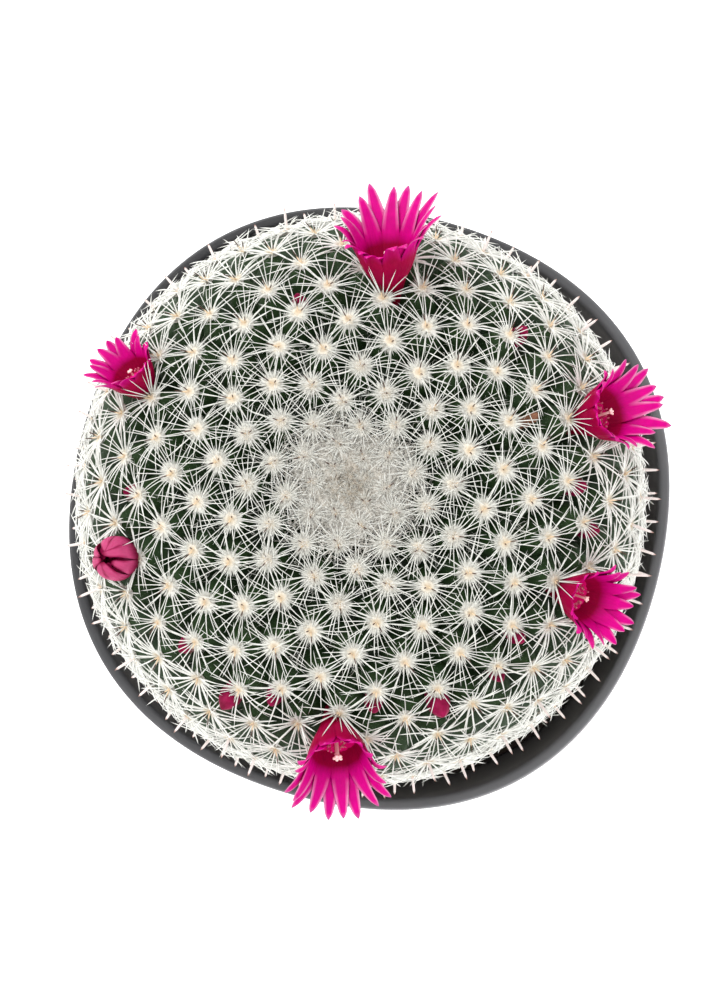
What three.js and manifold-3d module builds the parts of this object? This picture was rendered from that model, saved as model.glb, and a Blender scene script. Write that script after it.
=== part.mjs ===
// A round cactus with white spines, in flower, growing in a plain dark nursery pot.
// Millimetres, +Z up. The origin is the centre of the pot's foot, on the ground.

import * as THREE from 'three';
import { mergeVertices } from 'three/addons/utils/BufferGeometryUtils.js';
import { ConvexHull } from 'three/addons/math/ConvexHull.js';
import Module from 'manifold-3d';

const wasm = await Module();
wasm.setup();

// Driving dimensions

const clearance = 0.3; // between pieces that touch on the real plant
const socketGap = 0.4; // round a flower or bud in its axil, at the corners of its few-sided tube

const pot = {
  height: 85,
  rimRadius: 52.9,
  lipWidth: 2.4,
  collarHeight: 11,
  collarStep: 1.5,
  footRadius: 36.5,
  footInnerRadius: 31,
  footHeight: 1.6,
  wall: 1.5,
  floor: 2.4,
  squareness: 0.02, // the rim is a rounded square by this share of its radius
  cornerAngle: 29.6,
  longness: 0.005, // and is longer one way by this share
  longAngle: -54,
  drainHoles: 6,
  drainHoleRadius: 4,
  drainCircleRadius: 23,
  segments: 40,
};

const soil = {
  level: 72,
  lump: 0.9,
  segments: 32,
};

// The tips of the tubercles lie on a surface of revolution: half of a rounded box above the
// widest level, a flatter half below it.
const body = {
  radius: 47.4,
  widestLevel: 91,
  crownRise: 44.8,
  undersideDrop: 17,
  roundness: 0.831, // exponent of the section, 1 for an ellipse
  offsetX: -0.75,
  offsetY: 0.45,
  crownDip: 2.6,
  crownDipRadius: 9,
  undersideRadius: 29,
  undersideLevel: 75,
  rootRadius: 14,
  rootTipRadius: 11,
  rootDepth: 10, // below the soil's level
};

// Tubercles come in opposite pairs, each pair turned on from the last by one angle, and each
// tubercle covers an area that grows from the crown to a steady size.
const tubercles = {
  pairs: 146,
  plainPairs: 12, // old, worn away tubercles below the rim
  firstAngle: 88.86,
  turn: -68.766,
  area: 70.9,
  crownAreaShare: 0.047,
  growthLength: 25.4,
  depthShare: 0.6, // valley depth, as a share of the distance between neighbours
  areoleRadius: 0.85,
  areoleShare: 0.15,
};

const spines = {
  length: 5.8,
  lift: 24, // degrees above the skin
  smallLift: 16, // as much steeper where the tubercles are smallest
  leastLift: 12,
  fullPitch: 7, // distance between tubercles from which their spines are full grown
  leastGrowth: 0.45,
  foot: 0.25, // height above the tubercle's tip, as a share of the areole's radius
  centralLength: 6.6,
  centralLift: 62,
  centralSlope: 0.45, // central spines grow where the skin is steeper than this
  youngLift: 62,
  youngLeastLift: 40,
  spacing: 0.42, // least distance between two spines of neighbouring tubercles
  clearance: 0.55, // from flowers and buds
  bends: [0, -9, 9, 18], // degrees tried in turn to keep clear
  shares: [1, 0.88, 0.76, 0.62, 0.48, 0.34, 0.2], // of the length, tried in turn to keep clear
  probes: [0.35, 0.55, 0.7, 0.85, 1], // places along a spine that are tested
  crownCount: 4,
  count: 6,
  lowCount: 5,
  crownPairs: 7,
  lowLevel: 91,
};

// Flowers stand in a ring below the crown, each in the axil nearest to an azimuth and a pair of
// tubercles. Rise is the elevation of the flower's axis and side its sideways lean, in degrees.
const flowers = [
  { azimuth: 78, pairIndex: 55.6, rise: 34, side: 13, scale: 1 },
  { azimuth: 154, pairIndex: 60.6, rise: 40, side: -20, scale: 0.86 },
  { azimuth: 17, pairIndex: 62.6, rise: 33, side: -2, scale: 1 },
  { azimuth: -26, pairIndex: 60.6, rise: 37, side: 3, scale: 0.9 },
  { azimuth: -94.6, pairIndex: 61.6, rise: 35, side: 10, scale: 1 },
  { azimuth: -163, pairIndex: 62.6, rise: 66, side: -4, scale: 0.9 },
];

// Their petals, in the same order. A petal's tip leans out by the angle open, and in over the
// middle where that is below zero.
const blooms = [
  { petals: 8, petalLength: 11.2, open: 48 },
  { petals: 8, petalLength: 7.2, open: 44 },
  { petals: 8, petalLength: 10.6, open: 50 },
  { petals: 8, petalLength: 9.4, open: 50 },
  { petals: 8, petalLength: 11, open: 52 },
  { petals: 6, petalLength: 6.6, open: -72 },
];

const flower = {
  rootSunk: 3.2, // below the tubercle tips
  tube: [[1.6, 0], [2.4, 1.6], [3.6, 4.2], [4.3, 7.4], [4.45, 8.4]], // radius, height above the root
  closedCorners: 4, // of the tube's outline, in a flower that is still closed
  cupFloor: 5.5,
  cupFloorRadius: 1.6,
  wall: 0.8,
  segments: 8,
  petalStart: 6.3,
  petalInset: 0.5, // the feet of the petals lie this deep in the tube's wall
  petalWidth: 2.9,
  petalThickness: 0.7,
  petalTipThickness: 0.1,
  petalStartAngle: 8,
  backOpening: 42, // petals on the side towards the crown open further, in degrees
  backShortening: 0.25, // and are shorter by this share
  innerLayer: { rise: 0.6, inset: 0.4, lengthShare: 0.93, closing: 11 },
  domeGap: 0.35, // between the petals of a closed flower and the core they lie on
};

const pistil = {
  radius: 0.45,
  overlap: 0.2, // of the style into the stigma
  stigmaRadius: 0.95,
  stigmaThickness: 0.6,
  stigmaNotch: 0.45, // share of the radius between two lobes
  lobes: 5,
  reach: 3.8,
  segments: 6,
};

// Buds sit lower in the axils, and only their tips show.
const buds = [
  { azimuth: 180, pairIndex: 57.6, size: 0.9 },
  { azimuth: -137, pairIndex: 59.6, size: 1.0 },
  { azimuth: -121, pairIndex: 64.6, size: 1.25 },
  { azimuth: -111, pairIndex: 56.6, size: 1.0 },
  { azimuth: -84, pairIndex: 53.6, size: 1.0 },
  { azimuth: -68, pairIndex: 58.6, size: 1.3 },
  { azimuth: -52, pairIndex: 63.6, size: 0.9 },
  { azimuth: -42, pairIndex: 55.6, size: 1.0 },
  { azimuth: -10, pairIndex: 65.6, size: 1.0 },
  { azimuth: 0, pairIndex: 57.6, size: 1.0 },
  { azimuth: 43, pairIndex: 59.6, size: 1.0 },
  { azimuth: 104, pairIndex: 52.6, size: 0.9 },
];

const bud = { length: 6.4, radius: 1.55, segments: 6, rootSunk: 4.4 };

// Materials

function finish(color, roughness) {
  return new THREE.MeshStandardMaterial({ color, roughness, metalness: 0 });
}

const materials = {
  pot: finish(0x2b2c2f, 0.55),
  soil: finish(0x2e231b, 1.0),
  cactus: finish(0x6f7d68, 0.8),
  flower: finish(0xd8138a, 0.6),
  pistil: finish(0xf3c3c8, 0.6),
  bud: finish(0xa3104f, 0.6),
};

// Solids

const radians = THREE.MathUtils.degToRad;
const up = new THREE.Vector3(0, 0, 1);

// One closed shell: only positions, shared corners welded, no collapsed triangle.
function weld(geometry) {
  const bare = geometry.index ? geometry.toNonIndexed() : geometry.clone();
  for (const name of Object.keys(bare.attributes)) if (name !== 'position') bare.deleteAttribute(name);
  const welded = mergeVertices(bare, 1e-4);
  const corners = welded.index.array;
  const kept = [];
  for (let i = 0; i < corners.length; i += 3) {
    const [a, b, c] = corners.slice(i, i + 3);
    if (a !== b && b !== c && c !== a) kept.push(a, b, c);
  }
  welded.setIndex(kept);
  return welded;
}

function toSolid(geometry) {
  const shell = weld(geometry);
  return new wasm.Manifold(new wasm.Mesh({
    numProp: 3,
    vertProperties: new Float32Array(shell.attributes.position.array),
    triVerts: new Uint32Array(shell.index.array),
  }));
}

function toGeometry(solid) {
  const { vertProperties, triVerts } = solid.getMesh();
  const geometry = new THREE.BufferGeometry();
  geometry.setAttribute('position', new THREE.BufferAttribute(new Float32Array(vertProperties), 3));
  geometry.setIndex(Array.from(triVerts));
  return geometry;
}

function joined(geometries) {
  return toGeometry(wasm.Manifold.union(geometries.map(toSolid)));
}

// A turned shape about +Z. The profile lists [radius, height] from the foot outwards and up.
function turned(profile, segments) {
  const points = profile.map(([radius, height]) => new THREE.Vector2(radius, height));
  return new THREE.LatheGeometry(points, segments).rotateX(Math.PI / 2);
}

// Cross-sections with the same number of corners, joined one to the next and capped.
function lofted(rings) {
  const positions = [];
  const tri = (a, b, c) => positions.push(...a.toArray(), ...b.toArray(), ...c.toArray());
  const sides = rings[0].length;
  for (let r = 0; r + 1 < rings.length; r += 1) {
    for (let i = 0; i < sides; i += 1) {
      const j = (i + 1) % sides;
      tri(rings[r][i], rings[r][j], rings[r + 1][j]);
      tri(rings[r][i], rings[r + 1][j], rings[r + 1][i]);
    }
  }
  const last = rings[rings.length - 1];
  for (let i = 1; i + 1 < sides; i += 1) {
    tri(rings[0][0], rings[0][i + 1], rings[0][i]);
    tri(last[0], last[i], last[i + 1]);
  }
  const geometry = new THREE.BufferGeometry();
  geometry.setAttribute('position', new THREE.Float32BufferAttribute(positions, 3));
  return geometry;
}

// Pot and soil

// The plan goes from round at the foot to a rounded square at the rim.
function squareOff(geometry) {
  const place = geometry.attributes.position;
  for (let i = 0; i < place.count; i += 1) {
    const angle = Math.atan2(place.getY(i), place.getX(i));
    const rise = THREE.MathUtils.smoothstep(place.getZ(i), 0, pot.height);
    const square = pot.squareness * Math.cos(4 * (angle - radians(pot.cornerAngle)));
    const oval = pot.longness * Math.cos(2 * (angle - radians(pot.longAngle)));
    const stretch = 1 + rise * (square + oval);
    place.setXY(i, place.getX(i) * stretch, place.getY(i) * stretch);
  }
  return geometry;
}

const collarLevel = pot.height - pot.collarHeight;
const collarRadius = pot.rimRadius - 1.2;
const wallTopRadius = collarRadius - pot.collarStep;

function outerRadius(level) {
  return THREE.MathUtils.mapLinear(level, 0, collarLevel, pot.footRadius, wallTopRadius);
}

function makePot() {
  const { height, rimRadius, lipWidth, wall, footHeight, floor } = pot;
  const floorTop = footHeight + floor;
  const shell = turned([
    [0, footHeight],
    [pot.footInnerRadius - 1, footHeight],
    [pot.footInnerRadius, 0],
    [pot.footRadius - 1, 0],
    [outerRadius(1), 1],
    [outerRadius(collarLevel - 0.8), collarLevel - 0.8],
    [collarRadius - 0.2, collarLevel + 0.3],
    [collarRadius, collarLevel + 1.2],
    [rimRadius - 0.5, height - 2],
    [rimRadius, height - 1],
    [rimRadius - 0.7, height],
    [rimRadius - lipWidth + 0.8, height - 0.2],
    [rimRadius - lipWidth, height - 1],
    [collarRadius - wall - 0.1, height - 3],
    [wallTopRadius - wall, collarLevel],
    [outerRadius(floorTop + 3) - wall, floorTop + 3],
    [outerRadius(floorTop) - wall - 2, floorTop],
    [0, floorTop],
  ], pot.segments);
  let solid = toSolid(squareOff(shell));
  for (let i = 0; i < pot.drainHoles; i += 1) {
    const angle = radians(pot.cornerAngle) + (i * 2 * Math.PI) / pot.drainHoles;
    const hole = new THREE.CylinderGeometry(pot.drainHoleRadius, pot.drainHoleRadius, 20, 12);
    hole.rotateX(Math.PI / 2);
    hole.translate(pot.drainCircleRadius * Math.cos(angle), pot.drainCircleRadius * Math.sin(angle), 0);
    solid = solid.subtract(toSolid(hole));
  }
  return toGeometry(solid);
}

const rootHole = {
  radius: body.rootRadius + clearance,
  floorRadius: body.rootTipRadius + clearance,
  level: soil.level - body.rootDepth - clearance,
};

// Potting mix, filled to below the rim, with a plain hole where the plant stands.
function makeSoil() {
  const bottom = pot.footHeight + pot.floor + clearance;
  const inside = (level) => outerRadius(level) - pot.wall - 1.5 * clearance;
  const top = inside(soil.level);
  const rings = [0.86, 0.66, 0.47]; // shares of the top's radius
  const bed = turned([
    [0, bottom],
    [inside(bottom) - 2.2, bottom],
    [inside(bottom + 3.2), bottom + 3.2],
    [top, soil.level],
    ...rings.map((share) => [top * share, soil.level + 0.5]),
    [rootHole.radius + 0.8, soil.level - 0.6],
    [rootHole.radius, soil.level - 1.6],
    [rootHole.floorRadius, rootHole.level],
    [0, rootHole.level],
  ], soil.segments);
  const place = bed.attributes.position;
  for (let i = 0; i < place.count; i += 1) {
    const [x, y, z] = [place.getX(i), place.getY(i), place.getZ(i)];
    const lump = Math.sin(x * 0.45 + 1.3) * Math.cos(y * 0.52 - 0.4) + 0.5 * Math.sin((x - y) * 0.8);
    if (z > soil.level) place.setZ(i, z + soil.lump * lump);
  }
  return squareOff(bed);
}

// Plant body

// Point of the tip surface at parameter u, 0 at the crown and a right angle at the widest level.
function section(u) {
  const drop = Math.cos(u) < 0 ? body.undersideDrop : body.crownRise;
  return {
    radius: body.radius * Math.abs(Math.sin(u)) ** body.roundness,
    level: body.widestLevel + drop * Math.sign(Math.cos(u)) * Math.abs(Math.cos(u)) ** body.roundness,
  };
}

// Walks down the section and notes where each tubercle number falls: a tubercle takes its own
// area of the surface, so the count grows by circumference times arc length over that area.
function walkSection() {
  const steps = 6000;
  const start = 0.0005;
  const whole = 0.8 * Math.PI;
  const walk = [{ count: 0, arc: 0, ...section(start) }];
  for (let i = 1; i <= steps; i += 1) {
    const next = section(start + (i / steps) * whole);
    const last = walk[walk.length - 1];
    const run = Math.hypot(next.radius - last.radius, next.level - last.level);
    const arc = last.arc + run;
    const count = last.count + (Math.PI * (next.radius + last.radius) * run) / areaAt(arc);
    walk.push({ ...next, arc, count });
  }
  return walk;
}

function areaAt(arc) {
  return tubercles.area * (1 - (1 - tubercles.crownAreaShare) * Math.exp(-arc / tubercles.growthLength));
}

const walk = walkSection();

function sectionAtCount(count) {
  const i = Math.max(1, walk.findIndex((step) => step.count >= count));
  const [a, b] = [walk[i - 1], walk[i]];
  const t = (count - a.count) / (b.count - a.count);
  const radius = THREE.MathUtils.lerp(a.radius, b.radius, t);
  const level = THREE.MathUtils.lerp(a.level, b.level, t);
  const run = Math.hypot(b.radius - a.radius, b.level - a.level);
  const pitch = Math.sqrt((areaAt(a.arc) * 2) / Math.sqrt(3));
  const normalOut = (a.level - b.level) / run;
  const normalUp = (b.radius - a.radius) / run;
  return { radius, level, pitch, normalOut, normalUp };
}

// A place on the tip surface, with the outward normal there and the distance between neighbours.
function onSurface(count, azimuth) {
  const { radius, level, pitch, normalOut, normalUp } = sectionAtCount(count);
  const [c, s] = [Math.cos(azimuth), Math.sin(azimuth)];
  return {
    point: new THREE.Vector3(body.offsetX + radius * c, body.offsetY + radius * s, level),
    normal: new THREE.Vector3(normalOut * c, normalOut * s, normalUp).normalize(),
    outward: new THREE.Vector3(c, s, 0),
    pitch,
  };
}

function placeTubercles() {
  const tips = [];
  for (let pair = 0; pair < tubercles.pairs + tubercles.plainPairs; pair += 1) {
    for (const half of [0, 180]) {
      const azimuth = radians(tubercles.firstAngle + pair * tubercles.turn + half);
      tips.push({ ...onSurface(2 * pair + 1, azimuth), pair, plain: pair >= tubercles.pairs });
    }
  }
  const ringSize = 18;
  for (let i = 0; i < ringSize; i += 1) {
    const angle = (i * 2 * Math.PI) / ringSize;
    const x = body.offsetX + body.undersideRadius * Math.cos(angle);
    const y = body.offsetY + body.undersideRadius * Math.sin(angle);
    tips.push({ point: new THREE.Vector3(x, y, body.undersideLevel), plain: true });
  }
  return tips;
}

// Triangles between neighbouring tips, as the hull of all tips.
function neighbourTriangles(tips) {
  const index = new Map(tips.map((tip, i) => [tip.point, i]));
  const hull = new ConvexHull().setFromPoints(tips.map((tip) => tip.point));
  return hull.faces.map((face) => {
    const corners = [];
    let edge = face.edge;
    do {
      corners.push(index.get(edge.head().point));
      edge = edge.next;
    } while (edge !== face.edge);
    return corners;
  });
}

// The crown is a shallow dip.
function sink(point) {
  const away = Math.hypot(point.x - body.offsetX, point.y - body.offsetY) / body.crownDipRadius;
  return point.clone().setZ(point.z - body.crownDip * Math.exp(-away * away));
}

function frameOn(normal, outward) {
  const side = new THREE.Vector3().crossVectors(up, outward).normalize();
  const down = new THREE.Vector3().crossVectors(side, normal).normalize();
  return { down, side: new THREE.Vector3().crossVectors(normal, down) };
}

// What stands in the axils

// The tubercle gap nearest to the wanted place is where a flower or a bud grows.
function findAxil(azimuthDegrees, pairIndex, tips, triangles) {
  const wanted = onSurface(2 * pairIndex + 1, radians(azimuthDegrees)).point;
  let best = null;
  for (const corners of triangles) {
    if (corners.some((i) => tips[i].plain)) continue;
    const centre = new THREE.Vector3();
    for (const i of corners) centre.addScaledVector(tips[i].point, 1 / 3);
    const distance = centre.distanceTo(wanted);
    if (!best || distance < best.distance) best = { centre, distance };
  }
  return best.centre;
}

// Where a piece stands: rooted below the tips in its axil, its axis raised from the horizontal
// and its own +X turned away from the crown.
function standing(axil, rootSunk, rise, side) {
  const outward = axil.clone().sub(new THREE.Vector3(body.offsetX, body.offsetY, axil.z)).normalize();
  const across = new THREE.Vector3().crossVectors(up, outward);
  const axis = outward.clone().multiplyScalar(Math.cos(radians(rise)) * Math.cos(radians(side)));
  axis.addScaledVector(across, Math.sin(radians(side)));
  axis.addScaledVector(up, Math.sin(radians(rise)) * Math.cos(radians(side)));
  axis.normalize();
  const lateral = new THREE.Vector3().crossVectors(axis, outward).normalize();
  const front = new THREE.Vector3().crossVectors(lateral, axis);
  const frame = new THREE.Matrix4().makeBasis(front, lateral, axis);
  const turn = new THREE.Quaternion().setFromRotationMatrix(frame);
  return { root: axil.clone().addScaledVector(axis, -rootSunk), axis, turn };
}

function placeOn(object, { root, turn }) {
  object.position.copy(root);
  object.quaternion.copy(turn);
  object.updateMatrix();
  return object;
}

// Flowers and buds

// Outside of the flower's tube: narrow in the axil, then flaring like a bell.
function tubeProfile(scale) {
  return flower.tube.map(([radius, height]) => [radius * scale, height * scale]);
}

function tubeRadiusAt(height) {
  const above = flower.tube.findIndex(([, level]) => level > height);
  const [[r0, h0], [r1, h1]] = [flower.tube[above - 1], flower.tube[above]];
  return THREE.MathUtils.mapLinear(height, h0, h1, r0, r1);
}

// Where a petal's midline is at share t of its length, as it bends away from the axis by `open`.
function petalMidline({ length, open, start, startRadius }, t) {
  const steps = 20;
  const angleAt = (share) => radians(THREE.MathUtils.lerp(flower.petalStartAngle, open, share));
  let [radius, height] = [startRadius, start];
  for (let i = 0; i < steps; i += 1) {
    const angle = angleAt(((i + 0.5) / steps) * t);
    radius += (Math.sin(angle) * length * t) / steps;
    height += (Math.cos(angle) * length * t) / steps;
  }
  return { radius, height, angle: angleAt(t) };
}

// A lance-shaped petal with a flat face and a keeled back.
function makePetal(petal) {
  const across = new THREE.Vector3(-Math.sin(petal.turn), Math.cos(petal.turn), 0);
  const out = new THREE.Vector3(Math.cos(petal.turn), Math.sin(petal.turn), 0);
  const stations = [[0, 1], [0.45, 0.78], [0.84, 0.56], [1, 0.06]]; // share of length, of width
  const rings = stations.map(([t, widthShare]) => {
    const { radius, height, angle } = petalMidline(petal, t);
    const centre = out.clone().multiplyScalar(radius).addScaledVector(up, height);
    const back = out.clone().multiplyScalar(Math.cos(angle)).addScaledVector(up, -Math.sin(angle));
    const half = (petal.width * widthShare) / 2;
    return [
      centre.clone().addScaledVector(across, half),
      centre.clone().addScaledVector(across, -half),
      centre.clone().addScaledVector(back, t < 1 ? flower.petalThickness : flower.petalTipThickness),
    ];
  });
  return lofted(rings);
}

// Petals on the side towards the crown, where the turn is half a circle, bend back and are short.
function petalRow(base, petals, phase) {
  return Array.from({ length: petals }, (_, i) => {
    const turn = ((i + phase) * 2 * Math.PI) / petals;
    const nearness = base.open > 0 ? ((1 - Math.cos(turn)) / 2) ** 2 : 0;
    const length = base.length * (1 - flower.backShortening * nearness);
    return makePetal({ ...base, turn, length, open: base.open + flower.backOpening * nearness });
  });
}

function makeFlower(scale, { petals, petalLength, open }) {
  const outside = tubeProfile(scale);
  const [throatRadius, throat] = outside[outside.length - 1];
  const { innerLayer } = flower;
  const outer = {
    length: petalLength,
    width: flower.petalWidth * scale,
    open,
    start: flower.petalStart * scale,
    startRadius: (tubeRadiusAt(flower.petalStart) - flower.petalInset) * scale,
  };
  if (open < 0) {
    const overCore = (t) => {
      const { radius, height } = petalMidline(outer, t);
      return [radius - flower.domeGap, height - flower.domeGap / 2];
    };
    const dome = [0.4, 0.65, 0.88].map(overCore);
    const top = dome[dome.length - 1][1] - flower.domeGap;
    const core = [[0, 0], ...outside.slice(0, flower.closedCorners), ...dome, [0, top]];
    return joined([turned(core, flower.segments), ...petalRow(outer, petals, 0)]);
  }
  const inner = {
    ...outer,
    length: petalLength * innerLayer.lengthShare,
    open: open - innerLayer.closing,
    start: outer.start + innerLayer.rise,
    startRadius: outer.startRadius - innerLayer.inset,
  };
  const cup = turned([
    [0, 0],
    ...outside,
    [throatRadius - flower.wall, throat],
    [flower.cupFloorRadius * scale, flower.cupFloor * scale],
    [0, flower.cupFloor * scale],
  ], flower.segments);
  return joined([cup, ...petalRow(outer, petals, 0), ...petalRow(inner, petals, 0.5)]);
}

// Style with a flat star of stigma lobes on top. It stands in the flower's cup.
function makePistil(scale) {
  const star = new THREE.Shape();
  for (let i = 0; i < 2 * pistil.lobes; i += 1) {
    const angle = (i * Math.PI) / pistil.lobes;
    const r = pistil.stigmaRadius * (i % 2 ? pistil.stigmaNotch : 1);
    star[i ? 'lineTo' : 'moveTo'](r * Math.cos(angle), r * Math.sin(angle));
  }
  const top = pistil.reach * scale;
  const stigma = new THREE.ExtrudeGeometry(star, { depth: pistil.stigmaThickness, bevelEnabled: false });
  stigma.translate(0, 0, top - pistil.stigmaThickness);
  const styleLength = top - pistil.stigmaThickness + pistil.overlap;
  const style = new THREE.CylinderGeometry(pistil.radius, pistil.radius, styleLength, pistil.segments);
  style.rotateX(Math.PI / 2);
  style.translate(0, 0, styleLength / 2);
  return joined([style, stigma]);
}

function budProfile(size) {
  const { length, radius } = bud;
  const shape = [[0.55, 0], [0.85, 0.35], [1, 0.65], [0.62, 0.9]]; // share of the radius, of the length
  return shape.map(([r, h]) => [r * radius * size, h * length * size]);
}

function makeBud(size) {
  return turned([[0, 0], ...budProfile(size), [0, bud.length * size]], bud.segments);
}

// Spines

// Least distance between two straight segments.
function segmentGap(p, q, r, s) {
  const [d1, d2, w] = [q.clone().sub(p), s.clone().sub(r), p.clone().sub(r)];
  const [a, b, c, d, e] = [d1.dot(d1), d1.dot(d2), d2.dot(d2), d1.dot(w), d2.dot(w)];
  const span = a * c - b * b;
  let t = span > 1e-9 ? THREE.MathUtils.clamp((b * e - c * d) / span, 0, 1) : 0;
  const u = THREE.MathUtils.clamp((b * t + e) / c, 0, 1);
  t = THREE.MathUtils.clamp((b * u - d) / a, 0, 1);
  return w.addScaledVector(d1, t).addScaledVector(d2, -u).length();
}

// True where a point is in or right beside a flower, a bud or the pot's rim.
function blocked(point, obstacles) {
  for (const { root, axis, profile, reach, spread } of obstacles) {
    const height = point.clone().sub(root).dot(axis);
    if (height < 0 || height > reach) continue;
    const away = point.clone().sub(root).addScaledVector(axis, -height).length();
    const above = profile.findIndex(([, h]) => h > height);
    const limit = above < 0 ? spread : profile[above][0];
    if (away < limit + spines.clearance) return true;
  }
  const distance = Math.hypot(point.x, point.y);
  const room = pot.rimRadius - (point.z < pot.height + 0.8 ? pot.lipWidth + 2.1 : 1.3);
  return distance > room || point.z < soil.level + 1.5;
}

const planted = [];

// A spine from a base towards a bearing on the skin. It is bent or shortened until it is clear.
function growSpine(tip, centre, bearing, length, lift, lowest) {
  let tried = null;
  for (const share of spines.shares) {
    for (const bend of spines.bends) {
      const angle = radians(Math.max(lowest, lift + bend));
      const end = centre.clone().addScaledVector(bearing, Math.cos(angle) * length * share);
      end.addScaledVector(tip.normal, Math.sin(angle) * length * share);
      tried = end;
      const inTheWay = (t) => blocked(centre.clone().lerp(end, t), tip.obstacles);
      if (spines.probes.some(inTheWay)) continue;
      const clear = planted.every((other) => other.owner === tip
        || other.centre.distanceToSquared(centre) > 4 * spines.length * spines.length
        || segmentGap(centre, end, other.centre, other.end) > spines.spacing);
      if (clear) {
        planted.push({ owner: tip, centre, end });
        return end;
      }
    }
  }
  planted.push({ owner: tip, centre, end: tried });
  return tried;
}

function spineCount(tip) {
  if (tip.pair < spines.crownPairs) return spines.crownCount;
  return tip.point.z < spines.lowLevel ? spines.lowCount : spines.count;
}

// The plant as one skin

function makeCactus(tips, triangles, obstacles) {
  const positions = [];
  const tri = (a, b, c) => positions.push(...a.toArray(), ...b.toArray(), ...c.toArray());
  const owner = new Map(); // which triangle holds a directed edge
  triangles.forEach(([a, b, c], t) => {
    owner.set(`${a}_${b}`, t).set(`${b}_${c}`, t).set(`${c}_${a}`, t);
  });

  const place = tips.map((tip) => sink(tip.point));
  const valleys = triangles.map((corners) => {
    if (corners.every((i) => tips[i].plain)) return null;
    const centre = new THREE.Vector3();
    for (const i of corners) centre.addScaledVector(place[i], 1 / 3);
    if (corners.some((i) => tips[i].plain)) return centre;
    const normal = new THREE.Vector3();
    for (const i of corners) normal.add(tips[i].normal);
    const pitch = corners.reduce((sum, i) => sum + tips[i].pitch / 3, 0);
    return centre.addScaledVector(normal.normalize(), -tubercles.depthShare * pitch);
  });

  triangles.forEach((corners, t) => {
    if (!valleys[t]) {
      tri(...corners.map((i) => place[i]));
      return;
    }
    for (let e = 0; e < 3; e += 1) {
      const [i, j] = [corners[e], corners[(e + 1) % 3]];
      const across = valleys[owner.get(`${j}_${i}`)];
      if (!across) tri(place[i], place[j], valleys[t]);
      else if (tips[i].plain) tri(place[i], across, valleys[t]);
    }
  });

  tips.forEach((tip, i) => {
    if (tip.plain) return;
    const ring = [];
    let t = triangles.findIndex((corners) => corners.includes(i));
    const first = t;
    do {
      ring.push(valleys[t]);
      const corners = triangles[t];
      const before = corners[(corners.indexOf(i) + 2) % 3];
      t = owner.get(`${i}_${before}`);
    } while (t !== first);
    raiseTubercle({ ...tip, point: place[i], obstacles }, ring, tri);
  });

  const skin = new THREE.BufferGeometry();
  skin.setAttribute('position', new THREE.Float32BufferAttribute(positions, 3));
  return skin;
}

// One tubercle: flanks from the valley ring up to the areole, and the areole's facets drawn out
// into spines.
function raiseTubercle(tip, ring, tri) {
  const count = spineCount(tip);
  const { down, side } = frameOn(tip.normal, tip.outward);
  const areole = Math.min(tubercles.areoleRadius, tubercles.areoleShare * tip.pitch);
  const bearing = (angle) => {
    const along = down.clone().multiplyScalar(Math.cos(angle));
    return along.addScaledVector(side, Math.sin(angle));
  };
  const angleOf = (point) => {
    const from = point.clone().sub(tip.point);
    return Math.atan2(from.dot(side), from.dot(down));
  };

  const facet = (2 * Math.PI) / count;
  const outer = ring.map((point) => ({ point, angle: angleOf(point) }));
  outer.sort((a, b) => a.angle - b.angle);
  const phase = outer[0].angle - facet / 2 + (tip.pair % 3) * (facet / 3);
  const inner = [];
  for (let i = 0; i < count; i += 1) {
    const angle = phase + i * facet;
    inner.push({ point: tip.point.clone().addScaledVector(bearing(angle), areole), angle });
  }
  bridge(outer, inner, tri);

  const young = tip.pair < spines.crownPairs;
  const growing = THREE.MathUtils.clamp(tip.pitch / spines.fullPitch, spines.leastGrowth, 1);
  const centre = tip.point.clone().addScaledVector(tip.normal, spines.foot * areole);
  const steep = !young && tip.normal.z < spines.centralSlope;
  for (let i = 0; i < count; i += 1) {
    const middle = phase + (i + 0.5) * facet;
    const central = steep && Math.cos(middle) > Math.cos(facet / 2 + 1e-6);
    const length = (central ? spines.centralLength : spines.length) * growing;
    let lift = spines.lift + spines.smallLift * (1 - growing);
    if (central) lift = spines.centralLift;
    if (young) lift = spines.youngLift;
    const lowest = young ? spines.youngLeastLift : spines.leastLift;
    const end = growSpine(tip, centre, bearing(middle), length, lift, lowest);
    const [a, b] = [inner[i].point, inner[(i + 1) % count].point];
    tri(centre, a, end);
    tri(a, b, end);
    tri(b, centre, end);
  }
}

// Triangles between an outer and an inner ring that both run the same way round.
function bridge(outer, inner, tri) {
  const full = 2 * Math.PI;
  const turnFrom = (base, angle) => (((angle - base) % full) + full) % full;
  const base = outer[0].angle;
  const near = (item) => Math.min(turnFrom(base, item.angle), full - turnFrom(base, item.angle));
  const start = inner.reduce((best, item, i) => (near(item) < near(inner[best]) ? i : best), 0);
  const behind = turnFrom(base, inner[start].angle) > Math.PI;
  const offset = near(inner[start]) * (behind ? -1 : 1);
  let i = 0;
  let j = 0;
  const outerTurn = (k) => (k === outer.length ? full : turnFrom(base, outer[k].angle));
  const innerTurn = (k) => offset + (k * full) / inner.length;
  while (i < outer.length || j < inner.length) {
    const o = outer[i % outer.length].point;
    const n = inner[(start + j) % inner.length].point;
    if (j >= inner.length || (i < outer.length && outerTurn(i + 1) <= innerTurn(j + 1))) {
      tri(o, outer[(i + 1) % outer.length].point, n);
      i += 1;
    } else {
      tri(o, inner[(start + j + 1) % inner.length].point, n);
      j += 1;
    }
  }
}

function largestPiece(solid) {
  return solid.decompose().sort((a, b) => b.volume() - a.volume())[0];
}

// Assembly

const group = new THREE.Group();

function addPiece(name, geometry, material, stand) {
  const mesh = new THREE.Mesh(geometry, materials[material]);
  mesh.name = name;
  if (stand) placeOn(mesh, stand);
  group.add(mesh);
  return mesh;
}

const tips = placeTubercles();
const triangles = neighbourTriangles(tips);

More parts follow.
